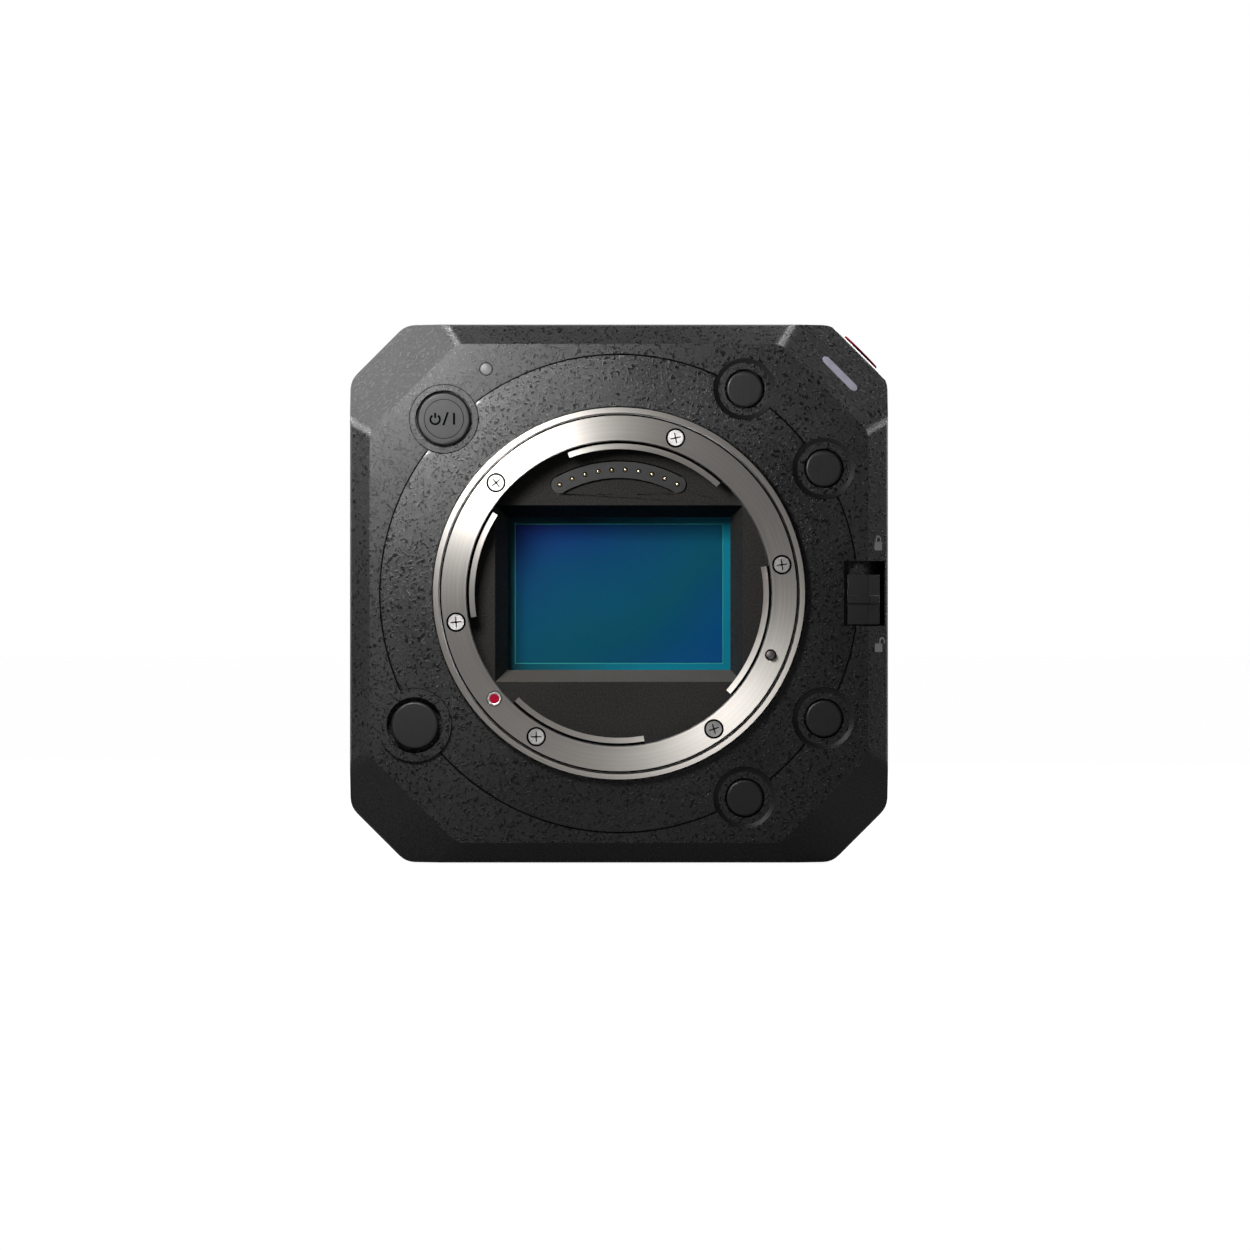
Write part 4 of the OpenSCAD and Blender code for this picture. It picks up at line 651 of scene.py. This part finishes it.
def stroke(bm, place, points, width, height=SIGN_H, closed=False):
    """A raised line of even width along the points."""
    sink = 0.03
    pts = [Vector(p) for p in points]
    n = len(pts)
    left, right = [], []
    for i in range(n):
        before = pts[i - 1] if closed or i else pts[i]
        after = pts[(i + 1) % n] if closed or i < n - 1 else pts[i]
        a = (pts[i] - before).normalized() if (pts[i] - before).length else (after - pts[i]).normalized()
        b = (after - pts[i]).normalized() if (after - pts[i]).length else a
        m = Vector((-(a.y + b.y), a.x + b.x))
        m = m / max(0.4, m.length_squared / 2) * (width / 2)
        left.append(pts[i] + m)
        right.append(pts[i] - m)
    corners = ((left, -sink), (left, height), (right, height), (right, -sink))
    rows = [[bm.verts.new(place.at(p.x, p.y, w)) for p in side] for side, w in corners]
    bridge(bm, rows + rows[:1], closed)
    if not closed:
        for i in (0, n - 1):
            bm.faces.new([row[i] for row in rows])


def arc(cx, cy, r, a0, a1, n=24):
    """Points from angle a0 to a1, in degrees."""
    turns = [math.radians(a0 + (a1 - a0) * i / n) for i in range(n + 1)]
    return [(cx + r * math.cos(a), cy + r * math.sin(a)) for a in turns]


def rounded(w, h, r, cx=0.0, cy=0.0, n=3):
    """A rectangle with round corners."""
    path = []
    for sx, sy, a in ((1, 1, 0), (-1, 1, 90), (-1, -1, 180), (1, -1, 270)):
        path += arc(cx + sx * (w / 2 - r), cy + sy * (h / 2 - r), r, a, a + 90, n)
    return path


def cross_outline(reach, width):
    """A cross whose arms narrow towards their tips."""
    t, taper = width / 2, 0.7
    path = []
    for q in range(4):
        a = math.radians(90 * q)
        c, s = math.cos(a), math.sin(a)
        for u, v in ((t, -t), (reach, -t * taper), (reach, t * taper)):
            path.append((u * c - v * s, u * s + v * c))
    return path


def cross_screw(bm, dark, place, r, proud, depth, turn=0.0):
    """A screw head with a soft rim, and a cross recess whose floor lies below its face; the recess goes in the
    second mesh, which is painted black as the shade in it.
    """
    spot = place.turned(turn)
    soft = r * 0.05
    slot = cross_outline(r * 0.66, r * 0.17)
    n = 48
    rim = [(r, proud - depth), (r, proud - soft), (r - soft * 0.4, proud - soft * 0.35), (r - soft, proud)]
    rings = [ring_of(bm, spot, k, w, n) for k, w in rim]
    bridge(bm, rings)
    mouth = [bm.verts.new(spot.at(u, v, proud)) for u, v in slot]
    lip = [dark.verts.new(spot.at(u, v, proud)) for u, v in slot]
    floor = [dark.verts.new(spot.at(u * 0.8, v * 0.8, proud - depth * 0.75)) for u, v in slot]
    edges = [bm.edges.get((rings[-1][i], rings[-1][(i + 1) % n])) for i in range(n)]
    for i in range(len(slot)):
        edges.append(bm.edges.new((mouth[i], mouth[(i + 1) % len(slot)])))
    bmesh.ops.triangle_fill(bm, use_beauty=True, use_dissolve=False, edges=edges)
    bridge(dark, [lip, floor])
    dark.faces.new(floor)


def numeral(name, text, place, size):
    """A printed number, raised a little from the surface."""
    curve = bpy.data.curves.new(name, "FONT")
    curve.body = text
    curve.size = size * MM
    curve.extrude = SIGN_H * MM
    curve.align_x, curve.align_y = "CENTER", "CENTER"
    holder = bpy.data.objects.new(name + "_curve", curve)
    scene.collection.objects.link(holder)
    bpy.context.view_layer.update()
    mesh = bpy.data.meshes.new_from_object(holder.evaluated_get(bpy.context.evaluated_depsgraph_get()))
    bpy.data.objects.remove(holder)
    bpy.data.curves.remove(curve)
    bm = bmesh.new()
    bm.from_mesh(mesh)
    bpy.data.meshes.remove(mesh)
    for v in bm.verts:
        v.co = place.at(v.co.x / MM, v.co.y / MM, v.co.z / MM)
    return piece(name, bm, "grey_ink")


# Screws of the lens mount, each in a seat whose black ring is painted shade for the gap round its head; the
# recesses of all screws go into one mesh
cross_shade = bmesh.new()
bm, gap_shade = bmesh.new(), bmesh.new()
for a, turn in MOUNT_SCREWS:
    spot = FLANGE.moved(*polar(SCREW_CIRCLE_R, a))
    cross_screw(bm, cross_shade, spot.moved(0, 0, -0.05), SCREW_R, 0.0, 0.7, turn=turn)
    lathe(gap_shade, spot, [(1.4, -0.3), (1.41, INLAY_H), (1.66, INLAY_H), (1.68, -0.3)])
piece("mount_screw_heads", bm, "steel", replaces=("mount_screws",))
piece("mount_screw_gap_shade", gap_shade, "ink")

# Black bands: at the outer edges of the ring and of the lip they paint the shade of the turned grooves there, and
# at the bore and on the claws below it they are painted shadow of the ring's edge
bm = bmesh.new()
top = LIP_TOP + INLAY_H
for profile in (
    ((RING_R - 0.3, -0.05), (RING_R - 0.28, INLAY_H), (RING_R - 0.02, INLAY_H), (RING_R, -0.3)),
    ((BORE_R + 0.12, -0.05), (BORE_R + 0.1, INLAY_H), (BORE_R + 0.01, INLAY_H), (BORE_R, -0.3)),
    ((LIP_R - 0.18, LIP_TOP - 0.05), (LIP_R - 0.16, top), (LIP_R - 0.01, top), (LIP_R + 0.01, LIP_TOP - 0.4)),
):
    lathe(bm, FLANGE, profile, 240)
low, top = CLAW_TOP - 0.05, CLAW_TOP + INLAY_H
# Painted shadow of the ring's edge on the claws
for span in CLAW_SPANS:
    curved_strip(bm, FLANGE, span, ((25.82, low), (25.84, top), (BORE_R, top), (BORE_R + 0.02, low)))
piece("mount_grooves_and_painted_shadow", bm, "ink")

# The seam round the mount cover, between the wells that cut it
bm = bmesh.new()
for span in SEAM_SPANS:
    curved_strip(bm, FRONT, span, ((41.1, -0.1), (41.12, 0.008), (41.36, 0.008), (41.38, -0.1)))
piece("cover_seam", bm, "ink")

# Index mark: a bright scalloped collar round the red dot
bm = bmesh.new()
lathe(
    bm, FLANGE.moved(*polar(INDEX_R, INDEX_ANGLE)),
    [(0.8, 0.0), (0.84, 0.13), (0.95, 0.16), (1.15, 0.15), (1.24, 0.05), (1.25, -0.1)], 64,
    radius=lambda r, a: r - (0.08 if r > 1 else 0) * abs(math.sin(4 * a)),
)
piece("index_collar", bm, "steel")

# Contact pins: small domes in dark collars, inside a thin outline
bm, collars = bmesh.new(), bmesh.new()
band = Place((0, CONTACT_Y, MID_Z), (1, 0, 0), (0, 0, 1))
for i in range(CONTACT_COUNT):
    spot = band.moved(*polar(CONTACT_R, CONTACT_START + CONTACT_STEP * i))
    lathe(bm, spot, [(0.3, -0.3), (0.3, 0.1), (0.26, 0.19), (0.15, 0.26), (0, 0.28)], 24)
    lathe(collars, spot, [(0.3, SINK), (0.42, SINK), (0.44, -SINK)], 24)
piece("contact_domes", bm, "gold", replaces=("contact_pins",))
for r in (CONTACT_R - 1.48, CONTACT_R + 1.48):
    profile = ((r - 0.08, -SINK), (r - 0.07, INLAY_H), (r + 0.07, INLAY_H), (r + 0.08, -SINK))
    curved_strip(collars, band, (CONTACT_START, 118.5), profile)
piece("contact_collars", collars, "ink")

# Coned walls of the wells round the front buttons
bm = bmesh.new()
for a in FN_ANGLES:
    lathe(bm, FRONT.moved(*polar(FN_CIRCLE_R, a)), [(5.3, -SINK), (4.55, -0.49)], 96)
piece("well_walls", bm, "well")

# Power button: a black ring of painted shade at the edge of its dish, and the standby sign
POWER = FRONT.moved(*POWER_PLACE, BUTTON_DROP)
bm = bmesh.new()
lathe(bm, POWER, [(3.32, -SINK), (3.34, SIGN_H), (3.42, SIGN_H), (3.44, -SINK)], 96)
piece("power_dish_shade_ring", bm, "ink", "power")
bm = bmesh.new()
stroke(bm, POWER, arc(-1.5, -0.1, 0.82, 125, 415), 0.34)
stroke(bm, POWER, [(-1.5, 0.15), (-1.5, 1.05)], 0.34)
stroke(bm, POWER, [(-0.1, -1.1), (0.7, 1.15)], 0.34)
stroke(bm, POWER, [(1.75, -1.0), (1.75, 1.05)], 0.36)
piece("power_sign", bm, "ink", "power")

# Dark rings in the face round the power button and round the status lamp
bm = bmesh.new()
lathe(bm, FRONT.moved(*POWER_PLACE), [(5.86, -SINK), (5.88, INLAY_H), (6.02, INLAY_H), (6.04, -SINK)], 96)
lathe(bm, FRONT.moved(*STATUS_PLACE), [(1.0, -SINK), (1.0, 0.02), (1.16, 0.02), (1.18, -SINK)], 48)
piece("well_lines", bm, "ink")

# Padlock signs: a shut one above the lock switch and an open one below it
bm = bmesh.new()
for v, side, shift, foot in ((8.75, 0.0, 0.0, -0.1), (-8.8, 0.1, 1.0, 0.2)):
    spot = BEVEL.moved(side, v)
    outline_prism(bm, spot, rounded(2.1, 1.5, 0.2, 0, -0.55), -SINK, SIGN_H)
    shackle = [(0.62 + shift, foot)] + arc(shift, 0.5, 0.62, 0, 180, 12) + [(-0.62 + shift, 0.0)]
    stroke(bm, spot, shackle, 0.32)
piece("padlock_signs", bm, "grey_ink")

# Record button: a small dot in its middle, and a rounded crown over the flat top of its ring
bm = bmesh.new()
lathe(bm, CHAMFER, [(0, 0.54), (0.75, 0.54), (0.85, 0.5), (0.85, 0.42)], 48)
piece("record_dot", bm, "red", "record")
bm = bmesh.new()
lathe(bm, CHAMFER, [(3.12, 0.4), (3.12, 0.72), (3.24, 0.84), (3.74, 0.84), (3.88, 0.7), (3.88, 0.02)], 64)
piece("record_crown", bm, "red")

# Cursor buttons: an arrow on each, and a ring on the middle one
CURSOR = RIGHT.moved(-6.5, 17, BUTTON_DROP)
CURSOR_STEP = 7.6
for name, a in (("up", 90), ("down", 270), ("fore", 180), ("aft", 0)):
    bm = bmesh.new()
    spot = CURSOR.moved(*polar(CURSOR_STEP, a)).turned(a)
    outline_prism(bm, spot, [(-0.5, -0.85), (0.8, 0), (-0.5, 0.85)], -SINK, 0.04)
    piece("arrow_" + name, bm, "grey_ink", name)
bm = bmesh.new()
lathe(bm, CURSOR, [(2.2, -SINK), (2.22, 0.04), (2.36, 0.04), (2.38, -SINK)], 64)
piece("set_ring", bm, "grey_ink", "set")

# Panel screws on the sides, the top, the base, the connector panel and the battery plate
bm = bmesh.new()
for u in (-15.0, 19.4):
    for v in (-31.6, 31.6):
        cross_screw(bm, cross_shade, RIGHT.moved(u, v), 1.25, 0.22, 0.35, turn=u + v)
for u in (-15.2, 15.2):
    for v in (-30.8, 30.8):
        cross_screw(bm, cross_shade, LEFT.moved(u - 0.5, v), 1.25, 0.22, 0.35, turn=u * v)
for u in (-27.5, 27.5):
    for v in (-14.6, 17.1):
        cross_screw(bm, cross_shade, TOP.moved(u, v), 1.25, 0.15, 0.3, turn=u - v)
        cross_screw(bm, cross_shade, BASE.moved(u, -v), 1.25, -0.02, 0.3, turn=u - v)
for u in (15, 40.2):
    cross_screw(bm, cross_shade, REAR.moved(u, -12.3, -2.8), 1.1, 0.25, 0.35, turn=u)
for u in (-32.2, 8.2):
    for v in (-31.6, 31.6):
        cross_screw(bm, cross_shade, REAR.moved(u, v, -4.6), 1.0, 0.2, 0.35, turn=u + v)
piece("panel_screws", bm, "screw")

# Tapped threads of the four sockets, under a chamfered collar
bm = bmesh.new()
pitch, tip_r, root_r, mouth, deep = 1.27, 2.55, 3.12, 0.35, 6.9
turns, rows = 48, 44
for place in (TOP.moved(-21, 1.25), TOP.moved(21, 1.25), BASE.moved(0, 5.75), BASE.moved(0, -8.25)):
    collar = ((4.0, -deep), (4.0, -0.06), (3.95, 0.0), (3.7, 0.0), (3.3, -0.02))
    grid = [ring_of(bm, place, r, w, turns) for r, w in collar]
    for j in range(rows + 1):
        w = -mouth - (deep - mouth) * j / rows
        ring = []
        for i in range(turns):
            a = 2 * math.pi * i / turns
            tooth = abs(2 * ((w / pitch + i / turns) % 1.0) - 1)
            r = tip_r + (root_r - tip_r) * min(1.0, max(0.0, tooth * 1.3 - 0.15))
            ring.append(bm.verts.new(place.at(r * math.cos(a), r * math.sin(a), w)))
        grid.append(ring)
    bridge(bm, grid)
piece("tapped_sockets", bm, "steel", smooth=50, replaces=("threaded_inserts",))

# Accessory shoe: two bowed springs under the lips, and its four screws
SHOE_FLOOR = -3.6
bm = bmesh.new()
for s in (-1, 1):
    rows = []
    for i in range(25):
        t = i / 24
        w = SHOE_FLOOR + 0.75 + 0.75 * math.sin(math.pi * t) ** 2
        corners = ((5.2, w), (8.9, w), (8.9, w - 0.25), (5.2, w - 0.25))
        rows.append([bm.verts.new(TOP.at(s * u, -11.9 + 17.2 * t, h)) for u, h in corners])
    tube(bm, rows)
piece("shoe_springs", bm, "bright_steel")
bm = bmesh.new()
for u in (-3.4, 3.4):
    for v in (-9.5, 2.9):
        cross_screw(bm, cross_shade, TOP.moved(u, v, SHOE_FLOOR), 1.3, 0.12, 0.3, turn=u * v)
piece("shoe_screws", bm, "screw")
# The cross recesses of all screws, painted black as shade
piece("screw_cross_shade", cross_shade, "ink")

# Sensor plane mark on the top
SENSOR_MARK = TOP.moved(31.0, -18.3)
bm = bmesh.new()
stroke(bm, SENSOR_MARK, arc(0, 0, 0.75, 0, 348.75, 31), 0.16, 0.02, closed=True)
stroke(bm, SENSOR_MARK, [(-1.5, 0), (1.5, 0)], 0.16, 0.02)
piece("sensor_plane_mark", bm, "grey_ink")

# Coaxial jacks: white insulators and gold contacts; numbers beside them
bm, gold = bmesh.new(), bmesh.new()
COAX_LEFT, COAX_RIGHT, COAX_HIGH, COAX_LOW = 20.3, 34.7, 26.6, 12.2
for u, v in ((COAX_LEFT, COAX_HIGH), (COAX_RIGHT, COAX_HIGH), (COAX_LEFT, COAX_LOW), (COAX_RIGHT, COAX_LOW)):
    spot = REAR.moved(u, v, 3.5)
    lathe(bm, spot, [(2.32, -4.6), (2.32, -1.15), (2.2, -1.0), (1.15, -1.0), (1.0, -1.15), (0.85, -2.4)])
    lathe(gold, spot, [(0.84, -2.5), (0.84, -0.9), (0.72, -0.72), (0.45, -0.72), (0.42, -0.8), (0.42, -2.5)], 32)
piece("coax_insulators", bm, "white")
piece("coax_contacts", gold, "gold")
for i, (u, v) in enumerate(((43.5, COAX_HIGH), (43.5, COAX_LOW), (11.5, COAX_HIGH), (11.5, COAX_LOW))):
    numeral("coax_number_%d" % (i + 1), str(i + 1), REAR.moved(u, v), 2.2)

# Network port: eight bent wires; video and data ports: rows of contacts; two lamp windows
bm = bmesh.new()
PANEL_DROP = -2.8
WIRE_PATH = ((4.15, -2.0), (3.4, -3.2), (1.2, -6.8), (0.6, -9.5), (1.0, -12.9))
WIRE_CORNERS = ((-0.2, -0.12), (0.2, -0.12), (0.2, 0.12), (-0.2, 0.12))
for i in range(8):
    wire = REAR.moved(27.5 + (i - 3.5) * 1.02, -3.5)
    tube(bm, [[bm.verts.new(wire.at(du, v + dv, w)) for du, dv in WIRE_CORNERS] for v, w in WIRE_PATH])
for count, middle, pitch, v in ((9, 27.5, 0.9, -17.5 + 0.98), (6, 34, 0.85, -28 + 0.37)):
    for i in range(count):
        spot = REAR.moved(middle + (i - (count - 1) / 2) * pitch, v, PANEL_DROP)
        outline_prism(bm, spot, rounded(0.4, 0.05, 0.02, n=2), -5.0, -0.2)
piece("port_contacts", bm, "gold")
bm = bmesh.new()
for u in (21.6, 33.4):
    outline_prism(bm, REAR.moved(u, 1.4, -0.6), rounded(2.0, 1.4, 0.2), -0.1, 0.05, 0.03)
piece("network_lamps", bm, "lamp")

# Battery bay: gold blades in the terminal
bm = bmesh.new()
for i in range(5):
    spot = REAR.moved(-12 - (i - 2) * 3.6, -17, -3.2)
    outline_prism(bm, spot, rounded(0.4, 7.2, 0.15, 0, 0.2), -1.0, -0.35, 0.05)
piece("battery_blades", bm, "gold")

# Card door: grip ribs and a card sign
bm = bmesh.new()
for k in range(5):
    stroke(bm, RIGHT.moved(0, -18.9 - 0.75 * k), [(-4.2, 0), (4.2, 0)], 0.32, 0.12)
piece("card_door_grip", bm, "panel", "card_door")
bm = bmesh.new()
card = RIGHT.moved(0, -28.0)
stroke(bm, card, [(-1.5, -1.9), (1.5, -1.9), (1.5, 1.1), (0.7, 1.9), (-1.5, 1.9)], 0.2, closed=True)
for k in range(4):
    stroke(bm, card, [(-1.05 + 0.55 * k, 0.7), (-1.05 + 0.55 * k, 1.45)], 0.2)
piece("card_sign", bm, "grey_ink", "card_door")

# Jack cover: grip ribs, and signs of headphones and a microphone
bm = bmesh.new()
for k in range(7):
    stroke(bm, RIGHT.moved(9.0, 27.6 - 0.8 * k), [(-3.0, 0), (2.2, 0)], 0.36, 0.14)
piece("jack_cover_grip", bm, "rubber", "jack_cover")
bm = bmesh.new()
phones = RIGHT.moved(8.8, 3.2)
stroke(bm, phones, arc(0, 0, 1.1, 0, 180, 14), 0.22)
for u in (-1.1, 1.1):
    outline_prism(bm, phones, rounded(0.55, 1.1, 0.15, u, -0.45), -SINK, SIGN_H)
microphone = RIGHT.moved(8.8, 13)
outline_prism(bm, microphone, rounded(0.9, 1.7, 0.44, 0, 0.35, 6), -SINK, SIGN_H)
stroke(bm, microphone, arc(0, 0.2, 0.85, 180, 360, 12), 0.2)
stroke(bm, microphone, [(0, -0.7), (0, -1.3)], 0.2)
stroke(bm, microphone, [(-0.6, -1.3), (0.6, -1.3)], 0.2)
piece("jack_signs", bm, "grey_ink", "jack_cover")


# ---------------------------------------------------------------- stage, lamps and camera


def backdrop():
    """A grey floor that takes the shadow; it looks white to the camera."""
    mesh = bpy.data.meshes.new("floor")
    reach = 12.0
    low = -0.3 * MM
    corners = [(x * reach, y * reach, low) for x, y in ((-1, -1), (1, -1), (1, 1), (-1, 1))]
    mesh.from_pydata(corners, [], [(0, 1, 2, 3)])
    floor = bpy.data.objects.new("floor", mesh)
    scene.collection.objects.link(floor)
    s = Shader("floor_paper")
    grey = s.mix(s.span(s.noise(40.0, 2.0), 0.3, 0.7), (0.14, 0.14, 0.14), (0.15, 0.15, 0.15))
    s.set(Base_Color=grey, Roughness=0.9)
    s.bsdf.inputs["Specular IOR Level"].default_value = 0.1
    rays = s.node("ShaderNodeLightPath")
    mirrored = s.math("MULTIPLY", rays.outputs["Is Glossy Ray"], 0.06)
    indirect = s.math("MAXIMUM", mirrored, rays.outputs["Is Transmission Ray"])
    seen = s.math("MAXIMUM", rays.outputs["Is Camera Ray"], indirect)
    glow = s.node("ShaderNodeEmission")
    glow.inputs["Color"].default_value = (1, 1, 1, 1)
    s.link(s.math("MULTIPLY", seen, 0.95), glow.inputs["Strength"])
    both = s.node("ShaderNodeAddShader")
    s.link(s.bsdf.outputs["BSDF"], both.inputs[0])
    s.link(glow.outputs["Emission"], both.inputs[1])
    s.link(both.outputs["Shader"], s.output.inputs["Surface"])
    mesh.materials.append(s.material)


def studio_world():
    """White for the camera; the room that the object reflects is white behind it and dim in front of it."""
    world = bpy.data.worlds.new("studio")
    scene.world = world
    world.use_nodes = True
    tree = world.node_tree
    tree.nodes.clear()
    link = tree.links.new

    def light(strength):
        made = tree.nodes.new("ShaderNodeBackground")
        made.inputs["Color"].default_value = (1, 1, 1, 1)
        made.inputs["Strength"].default_value = strength
        return made

    out = tree.nodes.new("ShaderNodeOutputWorld")
    rays = tree.nodes.new("ShaderNodeLightPath")
    split = tree.nodes.new("ShaderNodeSeparateXYZ")
    link(tree.nodes.new("ShaderNodeTexCoord").outputs["Generated"], split.inputs["Vector"])
    behind = tree.nodes.new("ShaderNodeMapRange")
    behind.interpolation_type = "SMOOTHSTEP"
    for key, value in {"From Min": 0.3, "From Max": 0.8, "To Min": 0.03, "To Max": 1.0}.items():
        behind.inputs[key].default_value = value
    link(split.outputs["Y"], behind.inputs["Value"])
    soft, room, white = light(0.12), light(1.0), light(1.0)
    link(behind.outputs["Result"], room.inputs["Strength"])
    mirrored = tree.nodes.new("ShaderNodeMath")
    mirrored.operation = "MAXIMUM"
    link(rays.outputs["Is Glossy Ray"], mirrored.inputs[0])
    link(rays.outputs["Is Transmission Ray"], mirrored.inputs[1])
    first, second = tree.nodes.new("ShaderNodeMixShader"), tree.nodes.new("ShaderNodeMixShader")
    link(mirrored.outputs[0], first.inputs["Fac"])
    link(soft.outputs["Background"], first.inputs[1])
    link(room.outputs["Background"], first.inputs[2])
    link(rays.outputs["Is Camera Ray"], second.inputs["Fac"])
    link(first.outputs["Shader"], second.inputs[1])
    link(white.outputs["Background"], second.inputs[2])
    link(second.outputs["Shader"], out.inputs["Surface"])


def lamp(name, place, target, size, power):
    """A square lamp of a size in metres and a power in watts, turned to its target."""
    data = bpy.data.lights.new(name, "AREA")
    data.shape = "RECTANGLE"
    data.size, data.size_y = size, size
    data.energy = power
    obj = bpy.data.objects.new(name, data)
    scene.collection.objects.link(obj)
    obj.visible_camera = False
    obj.location = Vector(place)
    obj.rotation_euler = (Vector(target) - Vector(place)).to_track_quat("-Z", "Y").to_euler()


backdrop()
studio_world()
# Lamps stand in metres; the ones of the front look at its centre
centre = Vector((0, -33 * MM, MID_Z * MM))
lamp("key", (-0.058, -0.176, 0.112), (-0.02, -0.036, 0.075), 0.045, 0.3)
# One small lamp for each ridge of the bevels, and a broad one for the upper left facet
for i, power in enumerate((0.12, 0.24, 0.34, 0.34, 0.16, 0.08, 0.06, 0.07)):
    x, z = polar(0.97, 22.5 + 45 * i)
    lamp("ridge_%d" % i, centre + Vector((x, 0.25, z)) * 0.3, centre, 0.04, power)
lamp("facet", centre + Vector((-0.685, 0.246, 0.685)) * 0.4, centre, 0.16, 0.4)
lamp("back", (0.5, 0.9, 0.5), (0, 0, 0.05), 0.6, 9.0)
lamp("side", (0.8, 0.65, 0.35), (0.03, 0, 0.05), 0.5, 0.8)
lamp("left", (-0.8, 0.65, 0.3), (-0.03, 0, 0.05), 0.5, 0.8)

# The camera faces the front squarely; at the plane of the ring its view is view_width wide
camera_data = bpy.data.cameras.new("camera")
camera_data.sensor_width = 36.0
camera_data.lens = 320.0
camera_data.clip_start, camera_data.clip_end = 0.1, 60.0
camera = bpy.data.objects.new("camera", camera_data)
scene.collection.objects.link(camera)
view_width = 215.9 * MM
eye_x, eye_z = 1.04 * MM, 41.06 * MM
distance = view_width * camera_data.lens / camera_data.sensor_width
camera.location = (eye_x, centre.y - distance, eye_z)
camera.rotation_euler = (math.radians(90), 0, 0)
scene.camera = camera
scene.view_settings.view_transform = "Standard"
